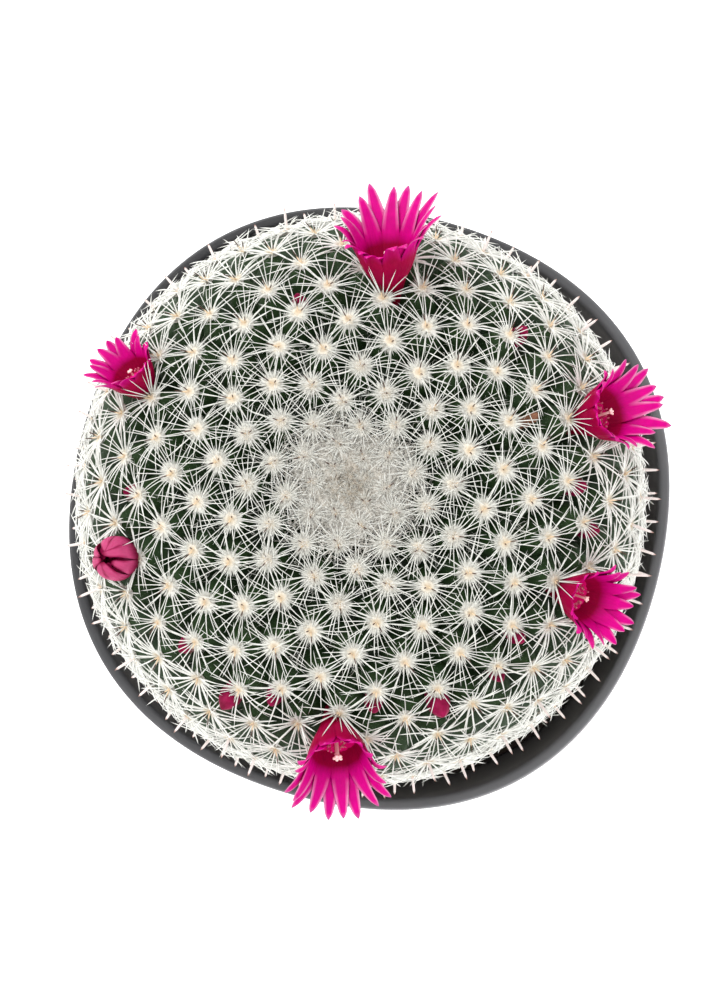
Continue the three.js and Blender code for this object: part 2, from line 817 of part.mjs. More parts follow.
const flowerStands = flowers.map(({ azimuth, pairIndex, rise, side, scale }) => {
  const stand = standing(findAxil(azimuth, pairIndex, tips, triangles), flower.rootSunk, rise, side);
  return { ...stand, profile: tubeProfile(scale), reach: 20, spread: 13 };
});
const budStands = buds.map(({ azimuth, pairIndex, size }) => {
  const axil = findAxil(azimuth, pairIndex, tips, triangles);
  const slope = onSurface(2 * pairIndex + 1, radians(azimuth)).normal.z;
  const stand = standing(axil, bud.rootSunk, THREE.MathUtils.radToDeg(Math.asin(slope)), 0);
  return { ...stand, profile: budProfile(size), reach: bud.length * size, spread: 0.8 };
});

// A socket is the piece's own outside, widened by the clearance, and as wide as the piece at its
// widest from 0.6 of its height up, so that it opens out of the skin.
function socket(stand, segments) {
  const { profile } = stand;
  const [, top] = profile[profile.length - 1];
  const widest = Math.max(...profile.map(([radius]) => radius));
  const wall = profile.map(([radius, height], i) => {
    const open = height > top * 0.6 ? widest : radius;
    return [open + socketGap, i ? height : -clearance];
  });
  const shape = turned([[0, -clearance], ...wall, [0, top]], segments);
  return shape.applyMatrix4(placeOn(new THREE.Object3D(), stand).matrix);
}

function makePlant() {
  const skin = toSolid(makeCactus(tips, triangles, [...flowerStands, ...budStands]));
  const root = turned([
    [0, soil.level - body.rootDepth],
    [body.rootTipRadius, soil.level - body.rootDepth],
    [body.rootRadius - 0.6, soil.level - 1.6],
    [body.rootRadius, soil.level + 0.5],
    [body.rootRadius + 2, body.undersideLevel + 1.5],
    [0, body.undersideLevel + 1.5],
  ], 16);
  let plant = skin.add(toSolid(root));
  for (const stand of flowerStands) plant = plant.subtract(toSolid(socket(stand, flower.segments)));
  for (const stand of budStands) plant = plant.subtract(toSolid(socket(stand, bud.segments)));
  return toGeometry(largestPiece(plant));
}

addPiece('pot', makePot(), 'pot');
addPiece('soil', makeSoil(), 'soil');
addPiece('cactus', makePlant(), 'cactus');

flowers.forEach(({ scale }, i) => {
  const stand = flowerStands[i];
  addPiece(`flower_${i + 1}`, makeFlower(scale, blooms[i]), 'flower', stand);
  if (blooms[i].open < 0) return;
  const seatHeight = flower.cupFloor * scale + clearance;
  const seat = { ...stand, root: stand.root.clone().addScaledVector(stand.axis, seatHeight) };
  addPiece(`pistil_${i + 1}`, makePistil(scale), 'pistil', seat);
});

buds.forEach(({ size }, i) => addPiece(`bud_${i + 1}`, makeBud(size), 'bud', budStands[i]));

export default group;
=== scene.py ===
import math
import bpy
import numpy as np
from mathutils import Matrix, Vector


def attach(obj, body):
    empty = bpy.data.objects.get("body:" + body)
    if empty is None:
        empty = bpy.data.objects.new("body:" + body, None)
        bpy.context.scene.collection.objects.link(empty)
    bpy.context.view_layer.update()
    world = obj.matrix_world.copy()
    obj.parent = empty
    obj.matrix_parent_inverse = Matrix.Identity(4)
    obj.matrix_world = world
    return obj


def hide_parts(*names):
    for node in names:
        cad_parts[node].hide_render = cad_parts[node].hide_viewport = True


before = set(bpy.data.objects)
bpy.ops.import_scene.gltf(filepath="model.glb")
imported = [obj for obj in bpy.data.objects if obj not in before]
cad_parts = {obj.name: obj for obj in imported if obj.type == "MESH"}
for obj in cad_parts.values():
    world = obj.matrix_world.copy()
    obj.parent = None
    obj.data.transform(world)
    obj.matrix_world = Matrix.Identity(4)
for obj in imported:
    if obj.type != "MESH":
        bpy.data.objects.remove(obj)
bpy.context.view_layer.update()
scene = bpy.context.scene
print("frame loaded:", len(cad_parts), "nodes")

# Sizes are in millimetres and degrees, as in the part's own drawing; addPiece turns them into
# metres. The origin is the centre of the pot's foot, and up is +Z.
mm = 0.001
upAxis = np.array([0, 0, 1.0])
rng = np.random.default_rng(11)


def unit(v):
    return v / np.maximum(np.linalg.norm(v, axis=-1, keepdims=True), 1e-12)


def mix(a, b, t):
    return a + (b - a) * t


def smooth(low, high, x):
    t = np.clip((x - low) / (high - low), 0, 1)
    return t * t * (3 - 2 * t)


def around(sides):
    return np.arange(sides) * 2 * np.pi / sides


def lumps(points, size, seed):
    # smooth noise between about -1 and 1: six plane waves with random directions, each finer
    # and weaker than the last
    waves = np.random.default_rng(seed)
    total = np.zeros(points.shape[:-1])
    for octave in range(6):
        finer = 1 + 0.45 * octave
        direction = unit(waves.normal(size=3)) * (2 * np.pi / size) * finer
        total += np.sin(points @ direction + waves.uniform(0, 2 * np.pi)) / finer
    return total / 2.4


def sweep(rings, tips=None):
    # Many closed sleeves at once. rings[k, i, j] is corner j of station i of sleeve k, running
    # anticlockwise seen from the tip. One face closes the root; a cone of triangles to the point
    # tips[k], or one face, closes the tip.
    count, rows, cols, _ = rings.shape
    base = (np.arange(count) * (rows * cols + (tips is not None)))[:, None, None]
    row, ring, last = np.arange(rows - 1)[:, None] * cols, np.arange(cols), (rows - 1) * cols
    after = (ring + 1) % cols
    quads = np.stack([row + ring, row + after, row + cols + after, row + cols + ring], -1).reshape(-1, 4)
    points, end = rings.reshape(count, rows * cols, 3), last + ring[None]
    if tips is not None:
        points = np.concatenate([points, tips[:, None]], 1)
        end = np.stack([last + ring, last + after, np.full(cols, rows * cols)], -1)
    faces = [(part + base).reshape(-1, part.shape[-1]) for part in (quads, ring[::-1][None], end)]
    return points.reshape(-1, 3), faces


def alongTubes(path, radius, sides, guide):
    # a round profile carried along every path[k, i], square to it, its first axis in the plane
    # of the path and guide[k]
    tangent = unit(np.gradient(path, axis=1))
    guide = guide[:, None]
    first = unit(guide - (guide * tangent).sum(-1, keepdims=True) * tangent)
    second = np.cross(tangent, first)
    x = (np.cos(around(sides)) * radius[..., None])[..., None]
    y = (np.sin(around(sides)) * radius[..., None])[..., None]
    return path[:, :, None] + x * first[:, :, None] + y * second[:, :, None]


def turned(radius, level, sides):
    # a profile turned about the axis: x = r cos(a), y = r sin(a), z = level
    radius = np.reshape(radius, (len(level), -1))
    x, y = radius * np.cos(around(sides)), radius * np.sin(around(sides))
    return np.stack([x, y, np.broadcast_to(level[:, None], x.shape)], -1)


def withTips(values, tip):
    # the corners' values of many sleeves, each sleeve's followed by the value at its tip
    return np.hstack([values.reshape(len(values), -1), np.full((len(values), 1), tip)])


def onSleeves(stations, count, sides, tip):
    # the same value for all corners of a station, for count sleeves
    return withTips(np.tile(np.repeat(stations, sides), (count, 1)), tip)


def addPiece(name, shape, node, material, values=None, flatShaded=False):
    # puts whole arrays of corners and faces into one mesh object, which stands for a CAD node
    points, faces = shape
    mesh = bpy.data.meshes.new(name)
    sizes = np.concatenate([np.full(len(f), f.shape[1]) for f in faces])
    corners = np.concatenate([f.ravel() for f in faces]).astype(np.int32)
    mesh.vertices.add(len(points))
    mesh.vertices.foreach_set("co", (points * mm).astype(np.float32).ravel())
    mesh.loops.add(len(corners))
    mesh.loops.foreach_set("vertex_index", corners)
    mesh.polygons.add(len(sizes))
    mesh.polygons.foreach_set("loop_start", np.concatenate([[0], np.cumsum(sizes)[:-1]]).astype(np.int32))
    mesh.polygons.foreach_set("use_smooth", np.full(len(sizes), not flatShaded))
    mesh.update(calc_edges=True)
    for key, value in (values or {}).items():
        layer = mesh.attributes.new(key, "FLOAT", "POINT")
        layer.data.foreach_set("value", np.ascontiguousarray(value, dtype=np.float32).ravel())
    mesh.validate()
    mesh.materials.append(material)
    piece = bpy.data.objects.new(name, mesh)
    scene.collection.objects.link(piece)
    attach(piece, "root")
    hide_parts(node)
    print(f"  {name}: {len(points)} corners, {int((sizes - 2).sum())} triangles")
    return piece


def newMaterial(name, roughness, specular=0.5):
    material = bpy.data.materials.new(name)
    material.use_nodes = True
    shader = material.node_tree.nodes["Principled BSDF"]
    shader.inputs["Roughness"].default_value = roughness
    shader.inputs["Specular IOR Level"].default_value = specular
    return material, material.node_tree, shader


def addNode(tree, kind, **settings):
    node = tree.nodes.new(kind)
    for key, value in settings.items():
        if key in node.inputs:
            node.inputs[key].default_value = value
        else:
            setattr(node, key, value)
    return node


def readValue(tree, name):
    return addNode(tree, "ShaderNodeAttribute", attribute_name=name).outputs["Fac"]


def pattern(tree, kind, size, output, **settings):
    # a texture on the piece's own coordinates whose cells are about size millimetres across
    node = addNode(tree, kind, Scale=1.0 / (size * mm), **settings)
    tree.links.new(addNode(tree, "ShaderNodeTexCoord").outputs["Object"], node.inputs["Vector"])
    return node.outputs[output]


def noise(tree, size, detail):
    return pattern(tree, "ShaderNodeTexNoise", size, "Fac", Detail=detail, Roughness=0.55)


def ramp(tree, factor, *stops):
    # stops are places with colours, or with one number for a grey
    node = addNode(tree, "ShaderNodeValToRGB")
    band = node.color_ramp
    while len(band.elements) < len(stops):
        band.elements.new(0.5)
    for element, (place, color) in zip(band.elements, stops):
        element.position = place
        element.color = (*(color if isinstance(color, tuple) else (color,) * 3), 1)
    tree.links.new(factor, node.inputs["Fac"])
    return node.outputs["Color"]


def blendColor(tree, factor, first, second, mode="MIX"):
    node = addNode(tree, "ShaderNodeMix", data_type="RGBA", blend_type=mode)
    for socket, value in (("Factor", factor), ("A", first), ("B", second)):
        target = [s for s in node.inputs if s.name == socket and s.enabled][0]
        if isinstance(value, bpy.types.NodeSocket):
            tree.links.new(value, target)
        else:
            target.default_value = value if socket == "Factor" else (*value, 1)
    return [s for s in node.outputs if s.enabled][0]


def multiply(tree, first, second):
    return blendColor(tree, 1.0, first, second, "MULTIPLY")


def shaded(tree, color, grain, dark):
    # the colour, darkened in the low patches of a grain
    return multiply(tree, color, ramp(tree, grain, (0.3, dark), (0.7, 1)))


def dress(tree, shader, color, height=None, depth=0.0, strength=1.0):
    # joins the colour, and a bump so many millimetres deep, to the shader
    tree.links.new(color, shader.inputs["Base Color"])
    if height is not None:
        node = addNode(tree, "ShaderNodeBump", Distance=depth * mm, Strength=strength)
        tree.links.new(height, node.inputs["Height"])
        tree.links.new(node.outputs["Normal"], shader.inputs["Normal"])


def skinMaterial():
    # dark green with fine pale flecks, painted shade darkest down in the valleys and paler, greyer out to the
    # tubercle tips
    material, tree, shader = newMaterial("cactusSkin", 0.55, 0.12)
    fine = noise(tree, 1.6, 4)
    along = readValue(tree, "along")
    # painted shade: darkest where along is low, down in the valleys between the tubercles
    high = ramp(tree, along, (0.0, (0.003, 0.008, 0.002)), (0.45, (0.008, 0.021, 0.005)),
                (0.9, (0.019, 0.044, 0.012)))
    flank = ramp(tree, along, (0.0, (0.010, 0.018, 0.010)), (0.45, (0.046, 0.072, 0.046)),
                 (0.9, (0.105, 0.145, 0.098)))
    color = blendColor(tree, readValue(tree, "low"), high, flank)
    color = blendColor(tree, ramp(tree, fine, (0.45, 0), (0.85, 0.3)), color, (0.046, 0.078, 0.044))
    fleck = ramp(tree, pattern(tree, "ShaderNodeTexVoronoi", 0.42, "Distance"), (0.14, 0.22), (0.28, 0))
    dress(tree, shader, blendColor(tree, fleck, color, (0.22, 0.25, 0.20)), fine, 0.12, 0.7)
    return material


def spineMaterial(name, base, shaft, tip, tipStart=0.8, roughness=0.42, dull=(0.90, 0.89, 0.88)):
    # chalky needle or hair, its base and tip colours read from the share along it, some duller
    material, tree, shader = newMaterial(name, roughness, 0.3)
    color = ramp(tree, readValue(tree, "along"), (0.0, base), (0.16, shaft), (tipStart, shaft),
                 (tipStart + 0.15, tip))
    dress(tree, shader, multiply(tree, color, ramp(tree, readValue(tree, "shade"), (0.0, dull), (1.0, 1))))
    return material


def petalMaterial(name, throat, middle, edge, tip):
    # deep colour in the throat, another on the blade, others at the margins and at the tip, with
    # veins that run lengthwise
    material, tree, shader = newMaterial(name, 0.5, 0.06)
    shader.inputs["Subsurface Weight"].default_value = 0.2
    shader.inputs["Subsurface Radius"].default_value = (0.0010, 0.0002, 0.0006)
    along, across = readValue(tree, "along"), readValue(tree, "across")
    blade = ramp(tree, along, (0.0, throat), (0.10, throat), (0.42, middle), (0.88, middle), (1.0, tip))
    margin = multiply(tree, ramp(tree, across, (0.5, 0), (0.97, 1)), ramp(tree, along, (0.42, 0), (0.62, 1)))
    color = shaded(tree, blendColor(tree, margin, blade, edge), noise(tree, 1.4, 3), 0.82)
    scaled = addNode(tree, "ShaderNodeMath", operation="MULTIPLY")
    scaled.inputs[1].default_value = 16.0
    veins = addNode(tree, "ShaderNodeMath", operation="SINE")
    tree.links.new(across, scaled.inputs[0])
    tree.links.new(scaled.outputs[0], veins.inputs[0])
    dress(tree, shader, color, veins.outputs[0], 0.03, 0.4)
    return material


def tonedMaterial(name, roughness, stops, size, detail, dark, bumpDepth=0.0, specular=0.5):
    # tones laid by the piece's "along" value, darker in the low patches of a grain
    material, tree, shader = newMaterial(name, roughness, specular)
    grain = noise(tree, size, detail)
    color = shaded(tree, ramp(tree, readValue(tree, "along"), *stops), grain, dark)
    dress(tree, shader, color, grain if bumpDepth else None, bumpDepth)
    return material


def plainMaterial(name, low, high, size, roughness, bumpDepth=0.0, specular=0.5):
    # two close tones in soft patches of one size, with a bump of the same grain
    material, tree, shader = newMaterial(name, roughness, specular)
    grain = noise(tree, size, 4)
    dress(tree, shader, ramp(tree, grain, (0.3, low), (0.7, high)), grain if bumpDepth else None, bumpDepth)
    return material


def potMaterial():
    # moulded dark plastic with a fine leathery grain and dusty patches; a painted highlight makes the lip
    # paler on one side, painted light makes the inner wall paler, and the outer wall is darker
    material, tree, shader = newMaterial("potPlastic", 0.5)
    color = ramp(tree, noise(tree, 14, 5), (0.42, (0.046, 0.046, 0.050)), (0.8, (0.062, 0.061, 0.064)))
    # the lip light and the inside value are painted light, the lip's on one side and the inner wall's against
    # its shade; the wall value darkens the outer wall
    for value, tone in (("paintedLipLight", (0.165, 0.165, 0.175)), ("inside", (0.24, 0.23, 0.23)),
                        ("wall", (0.042, 0.042, 0.045))):
        color = blendColor(tree, readValue(tree, value), color, tone)
    rough = ramp(tree, noise(tree, 5, 4), (0.3, 0.40), (0.8, 0.58))
    tree.links.new(rough, shader.inputs["Roughness"])
    dress(tree, shader, color, noise(tree, 0.35, 2), 0.04, 0.5)
    return material


view = {
    "distance": 480, "right": 0.044, "back": -0.061, "target": (-1.17, 1.15, 85), "lens": 100, "sensor": 36,
    "suns": {"keyLight": (2.2, (-0.40, 0.50, 0.77)), "counterLight": (1.15, (0.42, -0.68, 0.54))},
    "lightAngle": 40, "fillStrength": 1.04, "floorGlow": 0.6, "floorTone": 0.93,
}


def addView():
    # the camera looks down on the crown from a little in front; two broad suns and a white sky
    # light a pale floor
    right, back = view["right"], view["back"]
    outward = Vector((right, back, math.sqrt(1 - right * right - back * back)))
    data = bpy.data.cameras.new("camera")
    data.sensor_fit = "VERTICAL"
    data.sensor_height = view["sensor"]
    data.lens = view["lens"]
    data.clip_start = 0.01
    data.clip_end = 20
    camera = bpy.data.objects.new("camera", data)
    scene.collection.objects.link(camera)
    side = Vector((0, 1, 0)).cross(outward).normalized()
    turn = Matrix((side, outward.cross(side), outward)).transposed().to_4x4()
    place = Vector(view["target"]) * mm + outward * view["distance"] * mm
    camera.matrix_world = Matrix.Translation(place) @ turn
    scene.camera = camera

    scene.world = bpy.data.worlds.new("studio")
    scene.world.use_nodes = True
    sky = scene.world.node_tree.nodes["Background"].inputs
    sky["Color"].default_value = (1, 1, 1, 1)
    sky["Strength"].default_value = view["fillStrength"]
    for name, (strength, source) in view["suns"].items():
        light = bpy.data.lights.new(name, "SUN")
        light.energy = strength
        light.angle = math.radians(view["lightAngle"])
        lamp = bpy.data.objects.new(name, light)
        lamp.rotation_euler = Vector(source).to_track_quat("Z", "Y").to_euler()
        scene.collection.objects.link(lamp)
    scene.view_settings.view_transform = "Standard"

    bpy.ops.mesh.primitive_grid_add(size=4.0, x_subdivisions=2, y_subdivisions=2)
    floor = bpy.context.object
    floor.name = "studioFloor"
    material, _, shader = newMaterial("paleFloor", 0.9)
    shader.inputs["Base Color"].default_value = (*[view["floorTone"]] * 3, 1)
    shader.inputs["Emission Color"].default_value = (1, 1, 1, 1)
    shader.inputs["Emission Strength"].default_value = view["floorGlow"]
    floor.data.materials.append(material)


addView()
print("camera and light set")


# the surface of revolution that the tubercle tips lie on
plant = {
    "radius": 47.4, "widestLevel": 91, "crownRise": 44.8, "undersideDrop": 17, "roundness": 0.831,
    "offset": np.array([-0.75, 0.45]), "crownDip": 2.6, "crownDipRadius": 9,
    "pairs": 150, "firstAngle": 88.86, "turn": -68.766,
    "area": 70.9, "crownAreaShare": 0.047, "growthLength": 25.4, "samples": 6001,
    "youngPitch": 2.2, "fullPitch": 7.4, "upperLevel": 122, "lowLevel": 97, "oldPair": 80, "freshPair": 30,
}


def sectionTable():
    # Half section of the plant: radius = R sin(u)^e, level = widest + rise cos(u)^e. Arc length
    # and tubercle count are running sums, the count growing by band area over tubercle area.
    u = np.linspace(0.0005, 0.8 * np.pi, plant["samples"])
    cosine, e = np.cos(u), plant["roundness"]
    radius = plant["radius"] * np.abs(np.sin(u)) ** e
    rise = np.where(cosine < 0, plant["undersideDrop"], plant["crownRise"])
    level = plant["widestLevel"] + rise * np.sign(cosine) * np.abs(cosine) ** e
    run = np.hypot(np.diff(radius), np.diff(level))
    arc = np.concatenate([[0], np.cumsum(run)])
    area = plant["area"] * (1 - (1 - plant["crownAreaShare"]) * np.exp(-arc / plant["growthLength"]))
    count = np.concatenate([[0], np.cumsum(np.pi * (radius[1:] + radius[:-1]) * run / area[1:])])
    outward, upward = -np.gradient(level), np.gradient(radius)
    steep = np.hypot(upward, outward)
    return {"radius": radius, "level": level, "arc": arc, "count": count, "outward": outward / steep,
            "upward": upward / steep, "pitch": np.sqrt(area * 2 / 3 ** 0.5)}


section = sectionTable()
crownSamples = slice(0, plant["samples"] // 2)  # samples over which the radius grows


def alongSection(by, value, *keys):
    return [np.interp(value, section[by], section[key]) for key in keys]


def countAtRadius(radius):
    return np.interp(radius, section["radius"][crownSamples], section["count"][crownSamples])


def crownDip(points):
    away = np.hypot(points[..., 0] - plant["offset"][0], points[..., 1] - plant["offset"][1])
    dipped = points.copy()
    dipped[..., 2] -= plant["crownDip"] * np.exp(-(away / plant["crownDipRadius"]) ** 2)
    return dipped


def placeOnSurface(count, azimuth):
    radius, level, pitch, outward, upward = alongSection("count", count, "radius", "level", "pitch",
                                                         "outward", "upward")
    c, s = np.cos(azimuth), np.sin(azimuth)
    point = np.stack([plant["offset"][0] + radius * c, plant["offset"][1] + radius * s, level], -1)
    normal = unit(np.stack([outward * c, outward * s, upward], -1))
    side = np.stack([-s, c, np.zeros_like(azimuth)], -1)
    return {"point": crownDip(point), "normal": normal, "side": side, "down": np.cross(side, normal),
            "pitch": pitch, "envelope": point}


def placeTubercles():
    # opposite pairs, each pair turned on from the last by one angle, numbered from the crown
    pair = np.repeat(np.arange(plant["pairs"]), 2)
    azimuth = np.radians(plant["firstAngle"] + pair * plant["turn"] + np.tile([0, 180], plant["pairs"]))
    return {**placeOnSurface(2 * pair + 1.0, azimuth), "pair": pair}


tubercles = placeTubercles()
tubercleCount = len(tubercles["pair"])
tipPoint, tipNormal = tubercles["point"][:, None], tubercles["normal"][:, None]

# shares of every tubercle: grown is 0 in the crown and 1 on full-size tubercles, lowness is 1 on
# the rows beside the rim, fresh is 1 on young areoles and 0 on old ones
grown = smooth(plant["youngPitch"], plant["fullPitch"], tubercles["pitch"])[:, None]
lowness = smooth(plant["upperLevel"], plant["lowLevel"], tipPoint[..., 2])
fresh = smooth(plant["oldPair"], plant["freshPair"], tubercles["pair"])[:, None]
print("tubercles placed:", tubercleCount)


# One flower each, in the axil of three tubercles, as the solids in the frame. Its place: the turn
# round the plant, the pair of tubercles at its level, the rise and the sideways lean of its axis.
# Its look: petals in a layer, their length, opening angle (below zero they fold inwards), share of
# the width, share of the length lost towards the crown, size and height of the stigma, brightness.
# The closed one has a height up to which needles keep clear of it.
flowers = [
    {"azimuth": 78, "pair": 55.6, "rise": 34, "side": 13, "scale": 1.0, "petals": 10, "length": 9.5,
     "open": 50, "width": 1.0, "back": 0.60, "stigma": 0.6, "reach": 8.8, "bright": 1.0},
    {"azimuth": 154, "pair": 60.6, "rise": 40, "side": -20, "scale": 0.86, "petals": 9, "length": 5.0,
     "open": 46, "width": 0.82, "back": 0.66, "stigma": 0.6, "reach": 8.6, "bright": 0.9},
    {"azimuth": 17, "pair": 62.6, "rise": 33, "side": -2, "scale": 1.0, "petals": 10, "length": 7.4,
     "open": 54, "width": 0.95, "back": 0.78, "stigma": 0.7, "reach": 9.0, "bright": 1.0},
    {"azimuth": -26, "pair": 60.6, "rise": 37, "side": 3, "scale": 0.9, "petals": 10, "length": 6.3,
     "open": 50, "width": 0.88, "back": 0.78, "stigma": 0.6, "reach": 8.8, "bright": 0.7},
    {"azimuth": -94.6, "pair": 61.6, "rise": 35, "side": 10, "scale": 1.0, "petals": 10, "length": 8.7,
     "open": 52, "width": 0.97, "back": 0.80, "stigma": 1.0, "reach": 9.3, "bright": 1.0},
    {"azimuth": -163, "pair": 62.6, "rise": 66, "side": -4, "scale": 0.9, "petals": 8, "length": 6.2,
     "open": -78, "width": 0.88, "back": 0.0, "bright": 1.0, "clearHeight": 11.6},
]

buds = [{"azimuth": azimuth, "pair": pair, "size": size} for azimuth, pair, size in (
    (180, 57.6, 0.9), (-137, 59.6, 1.0), (-121, 64.6, 1.25), (-111, 56.6, 1.0), (-84, 53.6, 1.0),
    (-68, 58.6, 1.3), (-52, 63.6, 0.9), (-42, 55.6, 1.0), (-10, 65.6, 1.0), (0, 57.6, 1.0),
    (43, 59.6, 1.0), (104, 52.6, 0.9))]


def findAxils():
    # middles of the triangles that three nearest neighbours make, worked out for all tips
    points, nearest = tubercles["envelope"], 8
    gap = np.linalg.norm(points[:, None] - points[None], axis=-1)
    near = np.argsort(gap, 1)[:, 1:nearest + 1]
    first, second = np.triu_indices(nearest, 1)
    a = np.repeat(np.arange(tubercleCount), len(first))
    b, c = near[:, first].ravel(), near[:, second].ravel()
    limit = 1.45 * tubercles["pitch"][a]
    tight = (gap[a, b] < limit) & (gap[a, c] < limit) & (gap[b, c] < limit)
    corners = np.unique(np.sort(np.stack([a, b, c], -1)[tight], 1), axis=0)
    middle = points[corners].mean(1)
    radius = np.linalg.norm(points[corners[:, 0]] - middle, axis=1)
    empty = np.linalg.norm(points[None] - middle[:, None], axis=-1).min(1) > radius * 0.8
    return corners[empty], middle[empty]


axilCorners, axilMiddles = findAxils()


def standIn(place, sunk, rise=None, side=0):
    # root and axis of what grows in the nearest axil: raised from the horizontal, or along the
    # skin's normal, and leaning sideways
    spot = placeOnSurface(np.array([2 * place["pair"] + 1.0]), np.radians([place["azimuth"]]))
    axil = axilMiddles[np.argmin(np.linalg.norm(axilMiddles - spot["envelope"][0], axis=1))]
    outward = unit(axil - np.array([*plant["offset"], axil[2]]))
    across = np.array([-outward[1], outward[0], 0])
    s = np.radians(side)
    r = np.arcsin(spot["normal"][0, 2]) if rise is None else np.radians(rise)
    axis = unit(outward * np.cos(r) * np.cos(s) + across * np.sin(s) + upAxis * (np.sin(r) * np.cos(s)))
    lateral = unit(np.cross(axis, outward))
    return {"root": axil - axis * sunk, "axis": axis, "x": np.cross(lateral, axis), "y": lateral}


def standing(stand, shape):
    # a shape made about the Z axis, moved to where it grows
    points, faces = shape
    x, y, z = (points[:, i:i + 1] for i in range(3))
    return stand["root"] + x * stand["x"] + y * stand["y"] + z * stand["axis"], faces


bloom = {"sunk": 3.2, "height": 8.4, "sheetTop": 6.8, "closedSheetTop": 6.0, "cupFloor": 5.5,
         "startAngle": 18, "backFlare": 4, "backCurl": 95, "backDullness": 0.80,
         "profileHeights": [0, 1.6, 4.2, 6.4, 8.4, 10], "profileRadii": [1.3, 1.7, 2.6, 3.6, 4.4, 4.7],
         "clearAbove": 4, "clearRadius": 3.9, "clearance": 0.28}
for flower in flowers:
    flower["stand"] = standIn(flower, bloom["sunk"], flower["rise"], flower["side"])


def tubeRadius(height, scale):
    # outside of a flower's tube at a height above its root: narrow, then flaring like a bell
    return np.interp(height / scale, bloom["profileHeights"], bloom["profileRadii"]) * scale


bodyLook = {"valleyShare": 0.60, "coreRings": 90, "coreSides": 140, "rings": 11, "sides": 14,
            "baseShare": 0.57, "tipRadius": 0.95, "sink": 1.4, "offsetFrom": 72, "offsetFull": 84,
            "underside": [(34, 77.2), (27, 75.6), (20, 74.8), (16, 74.2), (14.3, 73.0), (13.7, 70.5),
                          (12.8, 66), (11.2, 62.3), (8, 62.05), (0.02, 62.0)]}


def makeCore(material):
    # surface of revolution a valley's depth inside the tips, closed at the crown and carried
    # down through a flat underside to the root collar in the soil
    end = np.interp(tubercleCount, section["count"], section["arc"])
    radius, level, pitch, outward, upward = alongSection("arc", np.linspace(0, end, bodyLook["coreRings"]),
                                                         "radius", "level", "pitch", "outward", "upward")
    depth = bodyLook["valleyShare"] * pitch
    radius = np.maximum(radius - depth * outward, 0.02)
    level = level - depth * upward
    tailRadius, tailLevel = np.transpose(bodyLook["underside"])
    radius = np.concatenate([radius, [radius[-1] - 1.5], tailRadius])
    level = np.concatenate([level, [level[-1] - 3.0], tailLevel])
    grid = turned(radius, level, bodyLook["coreSides"])
    shift = smooth(bodyLook["offsetFrom"], bodyLook["offsetFull"], level)[:, None, None]
    grid[..., :2] += plant["offset"] * shift
    grid = crownDip(grid)[::-1]
    shape = sweep(grid[None], grid[-1].mean(0)[None])
    # the core, down in the valleys, takes the skin's darkest painted shade
    none = np.zeros(len(shape[0]))
    addPiece("plantCore", shape, "cactus", material, {"along": none, "low": none})


def makeTubercles(material):
    # cone with a round shoulder: radius falls from the base share of the pitch to the areole,
    # height runs from below the valley to the tip; the axis is the skin's normal, tilted a little
    t = np.linspace(0, 1, bodyLook["rings"])
    pitch = tubercles["pitch"][:, None]
    reach = bodyLook["valleyShare"] * pitch + bodyLook["sink"] * grown
    tip = np.minimum(bodyLook["tipRadius"], 0.17 * pitch)
    base = bodyLook["baseShare"] * pitch * (1 + 0.05 * rng.normal(size=pitch.shape))
    flank = np.maximum(1 - t, 0) ** 0.82
    shoulder = np.sqrt(np.clip(1 - smooth(0.86, 1.0, t) ** 2 * 0.9, 0, 1))
    radius = (tip + (base - tip) * flank) * shoulder
    lean = 0.07 * rng.normal(size=(tubercleCount, 2))
    axis = unit(tubercles["normal"] + lean[:, :1] * tubercles["side"] + lean[:, 1:] * tubercles["down"])
    path = tipPoint - axis[:, None] * (reach * (1 - t))[..., None]
    rings = alongTubes(path, radius, bodyLook["sides"], tubercles["down"])
    wobble = 1 + 0.05 * lumps(rings, 4.0, 3)[..., None]
    rings = path[:, :, None] + (rings - path[:, :, None]) * wobble
    along = onSleeves(t, tubercleCount, bodyLook["sides"], 1.0)
    addPiece("tubercles", sweep(rings, path[:, -1] + axis * 0.15), "cactus", material,
             {"along": along, "low": np.broadcast_to(lowness, along.shape)})


skin = skinMaterial()
makeCore(skin)
makeTubercles(skin)
print("plant body made")


# how far from the pot's axis a needle may go: this far below the rim, its own reach above it
room = {"insideLip": 48.9, "lipLevel": 85.8, "freeLevel": 88.0}


def inBloom(points, flower):
    # true where a point lies in this flower's tube or in the cup above it
    stand, scale = flower["stand"], flower["scale"]
    away = points - stand["root"]
    height = away @ stand["axis"]
    radial = np.linalg.norm(away - height[..., None] * stand["axis"], axis=-1)
    top, width = bloom["height"] * scale + bloom["clearAbove"], tubeRadius(height, scale)
    if "clearHeight" in flower:
        top = flower["clearHeight"] * scale
        width = np.minimum(width, bloom["clearRadius"]) * np.sqrt(smooth(top, 0.62 * top, height))
    return (height > 0) & (height < top) & (radial < width + bloom["clearance"])


def needlePath(start, direction, bend, length, stations):
    # start + direction length t + bend t squared
    t = np.linspace(0, 1, stations)[None, :, None]
    return start[:, None] + direction[:, None] * length[:, None, None] * t + bend[:, None] * t * t


def raisedOver(start, direction, bend, length):
    # needles that would run through a flower's tube are turned away from its axis step by step,
    # until they pass over it, and bowed less
    for flower in flowers:
        axis = flower["stand"]["axis"]
        away = start - flower["stand"]["root"]
        aside = unit(away - (away @ axis)[..., None] * axis)
        for _ in range(20):
            hit = inBloom(needlePath(start, direction, bend, length, 7)[:, 2:], flower).any(1)[:, None]
            direction = np.where(hit, unit(direction + 0.08 * (aside + 0.35 * axis)), direction)
            bend = np.where(hit, 0.8 * bend, bend)
    return direction, bend


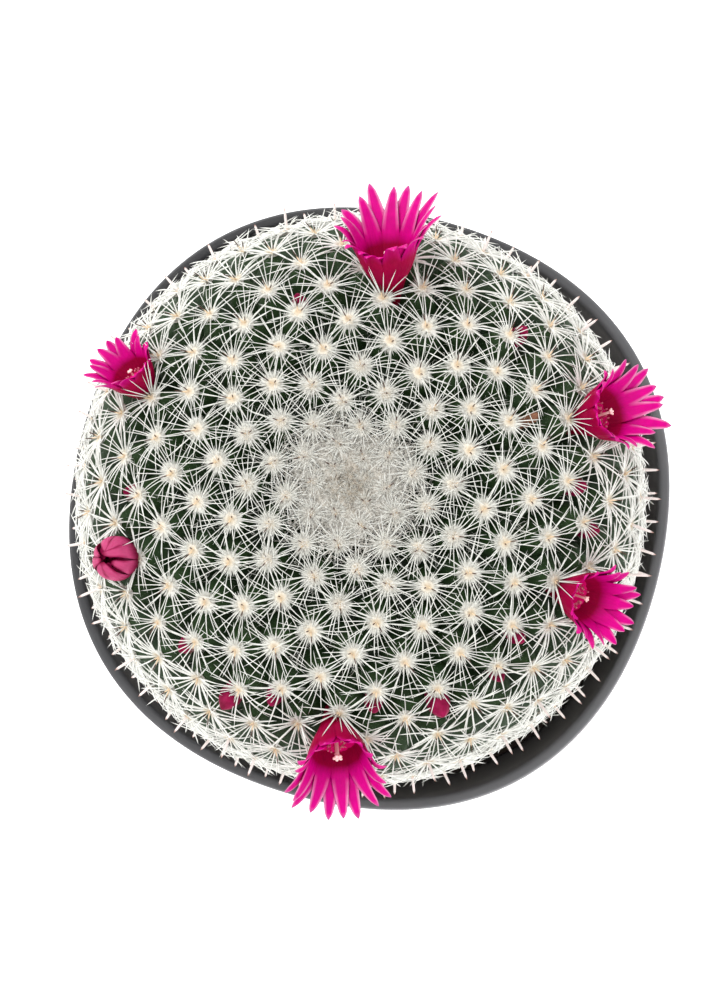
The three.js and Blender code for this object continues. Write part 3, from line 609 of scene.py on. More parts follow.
def needles(name, start, direction, bend, length, root, guide, look, material):
    # Straight or slightly bowed needles, their radius tapering from root to tip. One that would
    # run into a flower, into the pot's lip or out of its own reach above the rim is shortened.
    keep = np.ones(len(start))
    for _ in range(14):
        path = needlePath(start, direction, bend, length * keep, 5)
        above = smooth(room["lipLevel"], room["freeLevel"], path[..., 2])
        free = mix(room["insideLip"], look["reach"], above)
        bad = (np.hypot(path[..., 0], path[..., 1]) > free)[:, 1:].any(1)
        for flower in flowers:
            bad |= inBloom(path[:, 2:], flower).any(1)
        keep = np.where(bad, keep * 0.9, keep)
    path = needlePath(start, direction, bend * keep[:, None], length * keep, look["stations"])
    t = np.linspace(0, 1, look["stations"])
    radius = (look["tip"] + (root - look["tip"]) * (1 - t) ** look["power"]) * np.ones((len(start), 1))
    rings = alongTubes(path, radius, look["sides"], guide)[:, :-1]
    along = onSleeves(t[:-1], len(start), look["sides"], 1.0)
    shade = np.broadcast_to(rng.uniform(size=(len(start), 1)), along.shape)
    addPiece(name, sweep(rings, path[:, -1]), "cactus", material, {"along": along, "shade": shade})


def wheelAround(turn, lift):
    # unit vectors round each tubercle: turned from straight down the slope in the skin's plane,
    # the skin's normal beside them, and the same vectors lifted from the skin by an angle
    c, s = np.cos(turn)[..., None], np.sin(turn)[..., None]
    wheel = c * tubercles["down"][:, None] + s * tubercles["side"][:, None]
    normal = np.broadcast_to(tipNormal, wheel.shape)
    a = np.radians(lift)[..., None]
    return wheel, normal, np.cos(a) * wheel + np.sin(a) * normal


radial = {"count": 26, "length": 6.3, "lowLength": 6.9, "lift": 17, "lowLift": 3, "youngLift": 52,
          "layerLift": 13, "lowLayerLift": 4, "liftSpread": 3.5, "lowLiftSpread": 2, "areole": 0.5,
          "lowerFrom": 62, "upperRoot": 0.111, "lowerRoot": 0.172,
          "tip": 0.035, "stations": 6, "sides": 3, "power": 0.55, "reach": 49.9}


def makeRadialSpines(material):
    # A wheel of needles round every areole, in two layers: low over the skin on grown tubercles,
    # lower still beside the rim, upright in the crown. Each is bowed down and a little sideways.
    count = radial["count"]
    turn = around(count)[None] + rng.uniform(0, 6.28, (tubercleCount, 1))
    turn = turn + rng.normal(0, 0.06, turn.shape)
    steady, layer, spread, size = (mix(radial[key], radial[lowKey], lowness) for key, lowKey in (
        ("lift", "lowLift"), ("layerLift", "lowLayerLift"), ("liftSpread", "lowLiftSpread"),
        ("length", "lowLength")))
    layer = (np.arange(count) % 2)[None] * layer
    lift = mix(radial["youngLift"], steady, grown) + layer + rng.normal(0, 1, turn.shape) * spread
    size = mix(0.18, 1.0, grown) * size
    length = size * (1 + rng.normal(0, 0.10, turn.shape)) * (1 - 0.01 * layer) * (1 + 0.06 * np.cos(turn))
    wheel, normal, direction = wheelAround(turn, lift)
    start = tipPoint + wheel * radial["areole"] * mix(0.5, 1, grown)[..., None] + normal * 0.12
    bend = -normal * (length * np.abs(rng.normal(0.14, 0.08, turn.shape)))[..., None]
    swirl = rng.normal(0, 0.3, (tubercleCount, 1)) + rng.normal(0, 0.25, turn.shape)
    bend = bend + np.cross(normal, wheel) * (swirl * size / radial["length"])[..., None]
    direction, bend = raisedOver(*(v.reshape(-1, *v.shape[2:]) for v in (start, direction, bend, length)))
    direction, bend = direction.reshape(start.shape), bend.reshape(start.shape)
    root = mix(0.5, 1, grown) + 0 * turn
    upper = (tubercles["pair"] < radial["lowerFrom"])[:, None] & np.ones_like(turn, bool)
    for name, chosen, thick in (("radialSpinesUpper", upper, radial["upperRoot"]),
                                ("radialSpinesLower", ~upper, radial["lowerRoot"])):
        needles(name, start[chosen], direction[chosen], bend[chosen], length[chosen],
                thick * root[chosen][:, None], normal[chosen], radial, material)


bristle = {"count": 140, "fewShare": 0.15, "length": 1.45, "oldLength": 1.0, "lift": 30, "oldLift": 16,
           "youngLift": 10, "liftSpread": 17, "lowerFrom": 44,
           "root": 0.075, "tip": 0.03, "stations": 4, "sides": 3, "power": 0.45, "reach": 49.9}


def makeAreoleBristles(material):
    # a dense brush of short fine bristles over each areole, which makes its round pale disc;
    # the older the areole, further down, the fewer and shorter they are
    turn = rng.uniform(0, 2 * np.pi, (tubercleCount, bristle["count"]))
    spread = bristle["liftSpread"] * rng.normal(size=turn.shape) * mix(0.5, 1, fresh)
    lift = mix(bristle["oldLift"], bristle["lift"], fresh) + spread
    lift = mix(lift + bristle["youngLift"], lift, grown)
    length = mix(bristle["oldLength"], bristle["length"], fresh) * mix(0.75, 1, grown)
    length = length * (1 + rng.normal(0, 0.10, turn.shape))
    wheel, normal, direction = wheelAround(turn, lift)
    foot = mix(0.35, 0.75, fresh) + rng.uniform(-0.2, 0.45, turn.shape)
    start = tipPoint + wheel * foot[..., None] + normal * mix(0.1, 0.25, fresh)[..., None]
    bend = -normal * (0.16 * length)[..., None] + rng.normal(0, 0.16, start.shape)
    kept = rng.uniform(size=turn.shape) < mix(bristle["fewShare"], 1, fresh)
    upper = (tubercles["pair"] < bristle["lowerFrom"])[:, None]
    for name, chosen in (("bristlesUpper", upper & kept), ("bristlesLower", ~upper & kept)):
        needles(name, start[chosen], direction[chosen], bend[chosen], length[chosen], bristle["root"],
                normal[chosen], bristle, material)


central = {"length": 4.0, "steep": 0.38,
           "root": 0.28, "tip": 0.13, "stations": 7, "sides": 7, "power": 0.5, "reach": 49.8}
fineCentral = {"length": 2.7, "youngLength": 2.3, "fromPair": 2,
               "root": 0.13, "tip": 0.05, "stations": 7, "sides": 5, "power": 0.4, "reach": 50.0}


def makeCentralSpines(stout, fine):
    # One stout straight spine on every low tubercle, pointing out and a little down, and two
    # fine brown-tipped ones on the others, pointing along the tubercle.
    normal, side, down = (tubercles[key] for key in ("normal", "side", "down"))
    low = normal[:, 2] < central["steep"]
    leaning = rng.normal(0, 0.10, (tubercleCount, 2))
    direction = unit(normal + (0.16 + leaning[:, :1]) * down + leaning[:, 1:] * side)
    length = central["length"] * (1 + rng.normal(0, 0.08, tubercleCount))
    start = tubercles["point"] + normal * 0.1
    bend = down * rng.normal(0.1, 0.12, (tubercleCount, 1))
    needles("centralSpines", start[low], direction[low], bend[low], length[low], central["root"], side[low],
            central, stout)
    rest = ~low & (tubercles["pair"] >= fineCentral["fromPair"])
    size = mix(fineCentral["youngLength"], fineCentral["length"], grown[rest, 0])
    for name, sign, share in (("youngCentralA", 1.0, 1.0), ("youngCentralB", -1.0, 0.8)):
        lean = unit(normal + (0.1 + 0.34 * sign + 2 * leaning[:, :1]) * down
                    + (0.30 * sign + 2 * leaning[:, 1:]) * side)[rest]
        needles(name, start[rest], lean, 0 * lean, size * share, fineCentral["root"], side[rest],
                fineCentral, fine)


makeRadialSpines(spineMaterial("spineWhite", (0.83, 0.75, 0.59), (0.85, 0.855, 0.81), (0.85, 0.86, 0.82)))
makeAreoleBristles(
    spineMaterial("bristleWhite", (0.86, 0.82, 0.72), (0.87, 0.865, 0.815), (0.87, 0.87, 0.82)))
makeCentralSpines(
    spineMaterial("spineStout", (0.80, 0.62, 0.42), (0.82, 0.73, 0.70), (0.30, 0.13, 0.09)),
    spineMaterial("spineBrownTip", (0.85, 0.72, 0.54), (0.80, 0.62, 0.42), (0.06, 0.02, 0.01), 0.42))
print("spines made")


felt = {"radius": 1.6, "oldRadius": 1.05, "height": 0.85, "oldHeight": 0.5, "rings": 7, "sides": 12}


def makeAreoles(material):
    # low cushion of felt on every tip: radius = R cos(a), height = H sin(a), with small lumps;
    # wide and domed on young tubercles, smaller and flatter on old ones
    a = np.linspace(0, 0.46 * np.pi, felt["rings"])
    size = np.minimum(mix(felt["oldRadius"], felt["radius"], fresh), 0.24 * tubercles["pitch"][:, None])
    height = mix(felt["oldHeight"], felt["height"], fresh)
    path = tipPoint + tipNormal * (height * np.sin(a) - 0.22)[..., None]
    rings = alongTubes(path, size * np.cos(a), felt["sides"], tubercles["down"])
    rings = rings + tipNormal[:, None] * (0.10 * lumps(rings, 0.9, 5))[..., None]
    tips = tubercles["point"] + tubercles["normal"] * (height - 0.2)
    addPiece("areoleFelt", sweep(rings, tips), "cactus", material,
             {"along": onSleeves(np.sin(a), tubercleCount, felt["sides"], 1.0)})


def curlyHairs(name, start, direction, length, curl, root, stations, material, seed, pale=1.0):
    # hairs that wander: path = start + direction length t + a sideways loop growing with t
    hair = np.random.default_rng(seed)
    t = np.linspace(0, 1, stations)[None, :, None]
    aside = unit(np.cross(direction, hair.normal(size=direction.shape)))
    other = np.cross(direction, aside)
    phase = hair.uniform(0, 2 * np.pi, (len(start), 1, 1))
    turns = hair.uniform(3, 6, (len(start), 1, 1))
    loop = aside[:, None] * (np.sin(turns * t + phase) - np.sin(phase))
    loop = loop + other[:, None] * (np.cos(turns * t + phase) - np.cos(phase))
    path = start[:, None] + direction[:, None] * length[:, None, None] * t + loop * curl[:, None, None] * t
    radius = root * (1 - 0.75 * t[..., 0]) * np.ones((len(start), 1))
    shape = sweep(alongTubes(path, radius, 3, aside)[:, :-1], path[:, -1])
    shade = np.minimum(hair.uniform(0.5, 1, (len(start), 1)) * np.reshape(pale, (-1, 1)), 1)
    shade = np.repeat(shade, len(shape[0]) // len(start), 1)
    addPiece(name, shape, "cactus", material, {"along": np.full(shade.shape, 0.5), "shade": shade})


wool = {"axilHairs": 8, "axilLength": 3.4, "axilPitch": 4.0,
        "crownHairs": 5600, "crownRadius": 10.2, "crownLength": 2.4,
        "tuftPairs": 22, "tuftHairs": 145, "tuftLength": 2.2}
cushion = {"radius": 8.3, "depth": -0.3, "edge": 3.2, "underside": 6, "rings": 30, "sides": 96}


def makeAxilWool(material):
    # tufts of white wool in the axils, from the valley up between the tubercles
    pitch = tubercles["pitch"][axilCorners].mean(1)
    use = pitch > wool["axilPitch"]
    normal, pitch = unit(tubercles["normal"][axilCorners].mean(1))[use], pitch[use, None]
    floor = crownDip(axilMiddles)[use] - normal * (bodyLook["valleyShare"] * pitch * 0.86)
    start, normal = np.repeat(floor, wool["axilHairs"], 0), np.repeat(normal, wool["axilHairs"], 0)
    start = start + rng.normal(0, 0.55, start.shape)
    rise = unit(normal + rng.normal(0, 0.5, start.shape))
    length = wool["axilLength"] * rng.uniform(0.45, 1.1, len(start))
    curlyHairs("axilWool", start, rise, length, np.full(len(start), 0.55), 0.045, 6, material, 21)


def makeCrownWool(material):
    # a dense mat of fine hairs over the crown dip, thinning out round it
    count = wool["crownHairs"]
    radius = wool["crownRadius"] * np.sqrt(rng.uniform(0, 1, count)) * rng.uniform(0.75, 1.25, count)
    angle = rng.uniform(0, 2 * np.pi, count)
    spot = placeOnSurface(countAtRadius(radius), angle)
    start = spot["point"] - spot["normal"] * 0.4
    inward = -np.stack([np.cos(angle), np.sin(angle), 0 * angle], -1)
    direction = unit(spot["normal"] * 0.8 + inward * 0.25 + rng.normal(0, 0.45, (count, 3)))
    length = wool["crownLength"] * rng.uniform(0.5, 1.0, count)
    curlyHairs("crownWool", start, direction, length, rng.uniform(0.4, 1.0, count), 0.055, 7, material, 22,
               smooth(0.8, 5.5, radius))


def makeCrownTufts(material):
    # a soft ball of curly hairs round every young areole
    young = np.repeat(np.flatnonzero(tubercles["pair"] < wool["tuftPairs"]), wool["tuftHairs"])
    normal = tubercles["normal"][young]
    direction = unit(normal * 0.75 + rng.normal(0, 0.75, normal.shape))
    start = tubercles["point"][young] + direction * 0.25
    size = mix(0.55, 1, grown[young, 0])
    length = wool["tuftLength"] * size * rng.uniform(0.6, 1.05, len(start))
    curlyHairs("crownTufts", start, direction, length, 0.4 * size, 0.04, 6, material, 24,
               mix(1.0, 1.6, grown[young, 0]))


def makeCrownCushion(material):
    # closed lens of matted wool in the crown dip: its top follows the skin's own surface a
    # little below the tips, with two sizes of lumps, and its edge runs down into the valleys
    rings, sides = cushion["rings"], cushion["sides"]
    share = np.concatenate([np.linspace(0.02, 1, rings), [1.0, 0.5]])
    depth = cushion["depth"] + cushion["edge"] * np.linspace(0, 1, rings) ** 6
    depth = np.concatenate([depth, [cushion["underside"]] * 2])
    angle = around(sides)
    uneven = 1 + 0.06 * np.sin(3 * angle) + 0.05 * np.sin(7 * angle)
    radius = cushion["radius"] * share[:, None] * uneven
    spot = placeOnSurface(countAtRadius(radius).ravel(), np.tile(angle, len(share)))
    grid = spot["point"].reshape(len(share), sides, 3)
    grid = grid + upAxis * (0.45 * lumps(grid, 3.2, 23) + 0.25 * lumps(grid, 1.3, 24))[..., None]
    grid[..., 2] -= depth[:, None]
    grid = grid[::-1]
    addPiece("crownCushion", sweep(grid[None], grid[-1].mean(0)[None]), "cactus", material,
             {"along": onSleeves(share[::-1], 1, sides, 0.0)})


makeAreoles(tonedMaterial(  # cream felt, tan in the middle of the areole, with a short nap
    "areoleFelt", 0.95, [(0.5, (0.76, 0.735, 0.67)), (0.88, (0.73, 0.68, 0.58)), (1.0, (0.60, 0.48, 0.33))],
    0.4, 4, (0.78, 0.76, 0.74), 0.15))
woolWhite = spineMaterial("woolWhite", (0.92, 0.90, 0.86), (0.95, 0.935, 0.89), (0.96, 0.95, 0.91),
                          roughness=0.8, dull=(0.54, 0.48, 0.40))
makeAxilWool(woolWhite)
makeCrownCushion(tonedMaterial(  # matted wool, grey-brown in the very middle and cream round it
    "woolMat", 1.0, [(0.08, (0.22, 0.18, 0.15)), (0.35, (0.55, 0.50, 0.43)), (0.75, (0.90, 0.88, 0.82))],
    0.8, 4, (0.80, 0.78, 0.76), 0.3))
makeCrownWool(woolWhite)
makeCrownTufts(woolWhite)
print("areoles and wool made")


# Petal layers: share of a petal's turn, height where a petal leaves the tube, how far outside the
# tube, share of the length, added opening, share of the width. Shapes: half-width along a petal.
openLayers = [(0.0, 8.2, 0.05, 1.03, 4, 1.0), (0.5, 8.0, -0.35, 1.0, -5, 1.0)]
openShape = ([0, 0.25, 0.5, 0.72, 0.88, 0.96, 1], [1.7, 1.55, 1.28, 0.98, 0.68, 0.38, 0.1])
closedLayers = [(0.0, 6.4, 0.05, 1.0, 0, 1.0), (0.5, 6.2, -0.5, 0.8, 0, 0.9)]
closedShape = ([0, 0.25, 0.5, 0.75, 0.9, 1], [1.5, 1.5, 1.2, 0.85, 0.6, 0.25])
petal = {"fusedRun": 5.4, "stations": 17, "footStations": 7, "sides": 12, "hollow": 0.20,
         "rootThickness": 0.20, "tipThickness": 0.07, "paintedFaceLight": 0.18}


def petalSheets(turns, layer, flower, shape, wild):
    # Petals. Midline: first along the tube, then its angle to the flower's axis runs evenly from
    # the tube's flare to the opening angle; on the side towards the crown the petals are shorter,
    # carry on the line of the tube and curl back at the tip. Section: a thin lens, hollowed along
    # its face; its half-width follows a profile along the petal.
    _, foot, inset, share, more, wide = layer
    scale, isOpen, column = flower["scale"], flower["open"] > 0, (len(turns), 1)
    start = foot * scale
    t = np.linspace(0, 1, petal["stations"])
    nearness = ((1 - np.cos(turns)) / 2)[:, None] ** 1.6 if isOpen else np.zeros(column)
    opening = flower["open"] + more + wild.normal(0, 4, column)
    uneven = ((0.05 if isOpen else 0.08) + 0.12 * nearness) * wild.normal(0, 1, column)
    size = flower["length"] * share * (1 + uneven) * (1 - flower["back"] * nearness)
    curl = bloom["backCurl"] * (1 + wild.normal(0, 0.25, column))
    near = bloom["startAngle"] + bloom["backFlare"] * t + curl * smooth(0.62, 1.05, t)
    angle = np.radians(mix(mix(bloom["startAngle"], opening, t), near, nearness))
    between = (angle[:, 1:] + angle[:, :-1]) / 2
    step = size / (petal["stations"] - 1)
    radius, height = (np.concatenate([np.zeros(column), np.cumsum(way * step, 1)], 1)
                      for way in (np.sin(between), np.cos(between)))
    radius, height = tubeRadius(start, scale) + inset + radius, start + height
    half = np.interp(t, *shape) * flower["width"] * wide

    # the foot, sunk in the tube at its lower end
    f = np.linspace(0, 1, petal["footStations"] + 1)[:-1]
    rise = start - petal["fusedRun"] * scale * (1 - f)
    footRadius = tubeRadius(rise, scale) + mix(-0.35, inset, smooth(0, 0.8, f))
    footAngle = np.arctan2(tubeRadius(rise + 0.2, scale) - tubeRadius(rise - 0.2, scale), 0.4)
    radius, height, angle = (np.hstack([np.tile(low, column), high]) for low, high in (
        (footRadius, radius), (rise, height), (footAngle, angle)))
    half = np.concatenate([half[0] * mix(0.45, 1, f ** 0.7), half])
    t = np.concatenate([0 * f, t])

    v = around(petal["sides"])
    x = half[:, None] * np.cos(v)
    y = mix(petal["rootThickness"], petal["tipThickness"], t)[:, None] * np.sin(v)
    y = y + petal["hollow"] * half[:, None] * np.cos(v) ** 2 * smooth(1.05, 0.5, t)[:, None]
    twist = np.radians(wild.normal(0, 10, (*column, 1))) * t[:, None]
    sway = wild.normal(0, 0.4, (*column, 1)) * t[:, None] ** 2
    xx = x * np.cos(twist) - y * np.sin(twist) + sway
    yy = x * np.sin(twist) + y * np.cos(twist)
    out = radius[..., None] - yy * np.cos(angle)[..., None]
    up = height[..., None] + yy * np.sin(angle)[..., None]
    c, s = np.cos(turns)[:, None, None], np.sin(turns)[:, None, None]
    rings = np.stack([out * c - xx * s, out * s + xx * c, up], -1)

    # where a corner lies on its petal: the face towards the axis is painted lighter at its root, painted
    # light against the shade in the throat; the backs of the petals near the crown are dull, and the inner
    # layer of a closed flower is all margin
    face = np.sin(v) * 0.5 + 0.5
    dull = bloom["backDullness"] * nearness[..., None] * (1 - face)
    glow = petal["paintedFaceLight"] * face * smooth(0.0, 0.2, t)[:, None] * smooth(0.6, 0.3, t)[:, None]
    along = np.minimum(t[:, None] * (1 - dull) + glow, 1) * flower["bright"]
    across = np.abs(np.cos(v)) * (1 - 0.5 * nearness[..., None]) + np.zeros(xx.shape)
    return rings, along, across if isOpen or share == 1 else np.ones(xx.shape)


tube = {"sides": 80, "ribs": 0.02, "outer": [0, 0.1, 0.24, 0.40, 0.55, 0.70, 0.84, 0.95, 1.0],
        "inner": [0.98, 0.75, 0.5, 0.25, 0.05], "thickness": [0.35, 0.5, 0.7, 0.9, 1.3]}


def tubeSheet(petals, scale, top):
    # Bell of revolution with the ribs of the fused petals: outside up, over the rim, down into
    # the cup. The last ring closes on the cup's floor.
    outer = np.array(tube["outer"]) * top * scale
    floor = bloom["cupFloor"] * scale
    inner = mix(floor + 0.3, top * scale, np.array(tube["inner"]))
    height = np.concatenate([outer, inner])
    radius = np.concatenate([tubeRadius(outer, scale),
                             tubeRadius(inner, scale) - np.array(tube["thickness"]) * scale])
    rib = 1 + tube["ribs"] * np.cos(petals * 2 * around(tube["sides"])) * smooth(1.5, 6, height)[:, None]
    rings = turned(radius[:, None] * rib, height, tube["sides"])[None]
    # the share for the tube's colour: rising outside towards the mouth, 1 all over the inside, painted light
    # against the cup's shade
    glow = np.concatenate([0.6 * smooth(0.3, 1.0, outer / outer[-1]), np.ones(len(inner))])
    return sweep(rings, floor * upAxis[None]), onSleeves(glow, 1, tube["sides"], 1.0)


def makeFlower(number, flower, petalLook, tubeLook):
    # two layers of petals, and the tube that they grow from; every petal's tip is closed by a
    # point in the middle of its last ring
    closed = flower["open"] < 0
    layers, shape = (closedLayers, closedShape) if closed else (openLayers, openShape)
    parts = []
    for i, layer in enumerate(layers):
        turns = (np.arange(flower["petals"]) + layer[0]) * 2 * np.pi / flower["petals"]
        turns = turns + np.random.default_rng(45 + number * 5 + i).normal(0, 0.05, flower["petals"])
        parts.append(petalSheets(turns, layer, flower, shape, np.random.default_rng(63 + number * 7 + i)))
    rings, along, across = (np.concatenate(part) for part in zip(*parts))
    values = {"along": withTips(along, 1), "across": withTips(across, 0)}
    petals = standing(flower["stand"], sweep(rings, rings[:, -1].mean(1)))
    addPiece(f"petals_{number}", petals, f"flower_{number}", petalLook, values)
    top = bloom["closedSheetTop" if closed else "sheetTop"]
    sheet, glow = tubeSheet(flower["petals"], flower["scale"], top)
    addPiece(f"tube_{number}", standing(flower["stand"], sheet), f"flower_{number}", tubeLook,
             {"along": glow})


pistil = {"styleRadius": 0.3, "lobes": 5, "lobeLength": 0.78, "stamens": 26, "stamenTurn": 2.4,
          "footLevel": 6.4, "footInset": (1.0, 1.6), "footRise": (5.9, 6.6), "head": (0.8, 2.2),
          "headRise": (6.6, 7.5), "filamentRadius": 0.06, "antherRadius": 0.17, "antherHalfLength": 0.24}


def makePistil(number, flower, styleLook, antherLook):
    # Style, a star of blunt stigma lobes that rise and thicken towards their ends, and stamens
    # that lean inwards, each with a small round anther.
    scale, star = flower["scale"], flower["stigma"]
    top, q = flower["reach"] * scale, np.linspace(0, 1, 7)
    stylePath = np.stack([0 * q, 0 * q, mix(bloom["cupFloor"] * scale - 0.1, top, q)], -1)[None]

    lobes, q = pistil["lobes"], np.linspace(0, 1, 8)
    turn = around(lobes)[:, None]
    reach, rise = pistil["lobeLength"] * star * q, top - 0.1 + 0.45 * star * np.sin(q * 1.9)
    lobePath = np.stack([reach * np.cos(turn), reach * np.sin(turn), rise + 0 * turn], -1)
    lobeRadius = star * (0.10 + 0.2 * np.sin(np.pi * (0.12 + 0.8 * q)) ** 0.6) * np.ones((lobes, 1))

    stamens, q = pistil["stamens"], np.linspace(0, 1, 5)
    wild = np.random.default_rng(89 + number)
    turn = (np.arange(stamens) * pistil["stamenTurn"] + wild.normal(0, 0.1, stamens))[:, None]
    inset, footRise, head, headRise = (wild.uniform(*pistil[key], stamens)[:, None] * scale
                                       for key in ("footInset", "footRise", "head", "headRise"))
    reach = mix(tubeRadius(pistil["footLevel"] * scale, scale) - inset, head, q ** 0.8)
    stamenPath = np.stack([reach * np.cos(turn), reach * np.sin(turn), mix(footRise, headRise, q)], -1)
    filamentRadius = np.full(reach.shape, pistil["filamentRadius"])
    a = np.linspace(-0.42, 0.42, 5) * np.pi
    antherPath = stamenPath[:, -1:] + upAxis * (pistil["antherHalfLength"] * np.sin(a))[:, None]
    antherRadius = pistil["antherRadius"] * np.cos(a) * np.ones((stamens, 1))

    for name, path, radius, sides, guide, look in (
            ("style", stylePath, np.full((1, 7), pistil["styleRadius"] * star), 10, (1.0, 0, 0), styleLook),
            ("stigma", lobePath, lobeRadius, 8, (0, 0, 1.0), styleLook),
            ("filaments", stamenPath, filamentRadius, 4, (0.3, 0.2, 1.0), antherLook),
            ("anthers", antherPath, antherRadius, 6, (1.0, 0, 0), antherLook)):
        shape = sweep(alongTubes(path, radius, sides, np.tile(guide, (len(path), 1))))
        addPiece(f"{name}_{number}", standing(flower["stand"], shape), f"pistil_{number}", look)


magenta = petalMaterial("petalMagenta", (0.29, 0.0, 0.038), (0.57, 0.0, 0.205), (0.70, 0.29, 0.47),
                        (0.57, 0.10, 0.31))
rose = petalMaterial("petalRose", (0.20, 0.0, 0.035), (0.47, 0.055, 0.16), (0.25, 0.003, 0.05),
                     (0.20, 0.0, 0.03))
# the inside of the tube is brightest: painted light against the shade in the cup
tubeCrimson = tonedMaterial(  # darker at the foot, brighter towards the mouth and inside it
    "tubeCrimson", 0.5, [(0.0, (0.15, 0.0, 0.012)), (0.6, (0.33, 0.0, 0.036)), (1.0, (0.66, 0.0, 0.14))],
    1.6, 3, (0.80, 0.78, 0.80), specular=0.05)
palePink = plainMaterial("stigmaPink", (0.88, 0.48, 0.48), (0.95, 0.66, 0.62), 0.6, 0.6)
antherPink = plainMaterial("antherPink", (0.50, 0.05, 0.16), (0.70, 0.24, 0.28), 0.4, 0.8)
for number, flower in enumerate(flowers, 1):
    makeFlower(number, flower, magenta if flower["open"] > 0 else rose, tubeCrimson)
    if "stigma" in flower:
        makePistil(number, flower, palePink, antherPink)
print("flowers made")


budLook = {"sunk": 5.0, "length": 6.4, "radius": 1.42, "rings": 16, "sides": 20, "scales": 5, "wind": 1.4,
           "lap": 0.10, "profile": ([0, 0.3, 0.62, 0.82, 0.93, 1], [0.5, 0.84, 1.0, 0.74, 0.42, 0.12])}


def makeBud(number, bud, material):
    # spindle of revolution, its skin lapped into narrow scales that wind up to the point
    length, t = budLook["length"] * bud["size"], np.linspace(0, 1, budLook["rings"])
    radius = np.interp(t, *budLook["profile"]) * budLook["radius"] * bud["size"]
    wound = budLook["scales"] * around(budLook["sides"]) / (2 * np.pi) + budLook["wind"] * t[:, None]
    lap = 1 + budLook["lap"] * (wound % 1.0) * smooth(0.15, 0.5, t)[:, None]
    rings = turned(radius[:, None] * lap, t * length, budLook["sides"])[None]
    shape = standing(standIn(bud, budLook["sunk"]), sweep(rings, length * 1.02 * upAxis[None]))
    addPiece(f"budScales_{number}", shape, f"bud_{number}", material)


remains = [{"azimuth": 83, "pair": 46.0, "size": 0.95}, {"azimuth": 21, "pair": 47.0, "size": 0.95}]
remainLook = {"sunk": 3.6, "rise": 52, "length": 5.6, "rings": 18, "sides": 24, "folds": 5, "foldDepth": 0.22,
              "twist": 3.0, "bow": 0.7, "profile": ([0, 0.3, 0.6, 0.85, 1], [0.6, 1.05, 0.8, 0.7, 0.25])}


def makeRemain(number, remain, material):
    # withered brown flower of a past season: a small crumpled, twisted spindle in its axil
    look, t = remainLook, np.linspace(0, 1, remainLook["rings"])
    radius = np.interp(t, *look["profile"]) * remain["size"]
    fold = np.sin(look["folds"] * around(look["sides"]) + look["twist"] * t[:, None])
    fold = 1 + look["foldDepth"] * fold * smooth(0.1, 0.6, t)[:, None]
    rings = turned(radius[:, None] * fold, t * look["length"], look["sides"])[None]
    rings[..., 0] += look["bow"] * t[:, None] ** 2
    rings = rings + 0.12 * lumps(rings, 1.2, 59 + number)[..., None]
    shape = standing(standIn(remain, look["sunk"], look["rise"]), sweep(rings, rings[:, -1].mean(1)))
    addPiece(f"driedFlower_{number}", shape, "cactus", material)


witheredBrown = plainMaterial("witheredBrown", (0.10, 0.035, 0.018), (0.24, 0.10, 0.05), 0.8, 0.85, 0.2)
for number, remain in enumerate(remains, 1):
    makeRemain(number, remain, witheredBrown)
budCrimson = plainMaterial("budCrimson", (0.13, 0.001, 0.022), (0.27, 0.003, 0.055), 1.5, 0.55, 0.08, 0.12)
for number, bud in enumerate(buds, 1):
    makeBud(number, bud, budCrimson)
print("buds made")


# lipLightAngle: the side of the lip where its painted highlight is strongest
potLook = {"height": 85, "rimRadius": 52.9, "lipWidth": 2.2, "lipSlope": 0.6, "wall": 1.5, "floor": 2.4,
           "collarHeight": 11, "collarStep": 1.5, "collarInset": 1.2,
           "footRadius": 36.5, "footInnerRadius": 31, "footHeight": 1.6,
           "cornerAngle": 29.6, "squareness": 0.020, "longAngle": -54, "longness": 0.005, "lipLightAngle": -42,
           "sides": 192, "holes": 6, "holeRadius": 4, "holeCircle": 23}
collarLevel = potLook["height"] - potLook["collarHeight"]
collarRadius = potLook["rimRadius"] - potLook["collarInset"]
wallTop = collarRadius - potLook["collarStep"]
floorTop = potLook["footHeight"] + potLook["floor"]


def squareOff(points):
    # the plan goes from round at the foot to a rounded square, a little longer one way, at the rim
    angle = np.arctan2(points[..., 1], points[..., 0])
    square = potLook["squareness"] * np.cos(4 * (angle - math.radians(potLook["cornerAngle"])))
    oval = potLook["longness"] * np.cos(2 * (angle - math.radians(potLook["longAngle"])))
    shaped = points.copy()
    shaped[..., :2] *= (1 + smooth(0, potLook["height"], points[..., 2]) * (square + oval))[..., None]
    return shaped


def roundedProfile(corners, rounds, steps=5):
    # a polyline whose corners are eased by a quadratic arc that starts rounds[i] before them
    corners = np.array(corners, float)
    rows = [corners[0]]
    for i in range(1, len(corners) - 1):
        t = np.linspace(0, 1, steps)[:, None]
        a, b = (corners[i] + unit(corners[j] - corners[i]) * rounds[i] for j in (i - 1, i + 1))
        rows.extend((1 - t) ** 2 * a + 2 * t * (1 - t) * corners[i] + t * t * b)
    rows.append(corners[-1])
    return np.array(rows)


def outerRadius(level):
    return mix(potLook["footRadius"], wallTop, level / collarLevel)


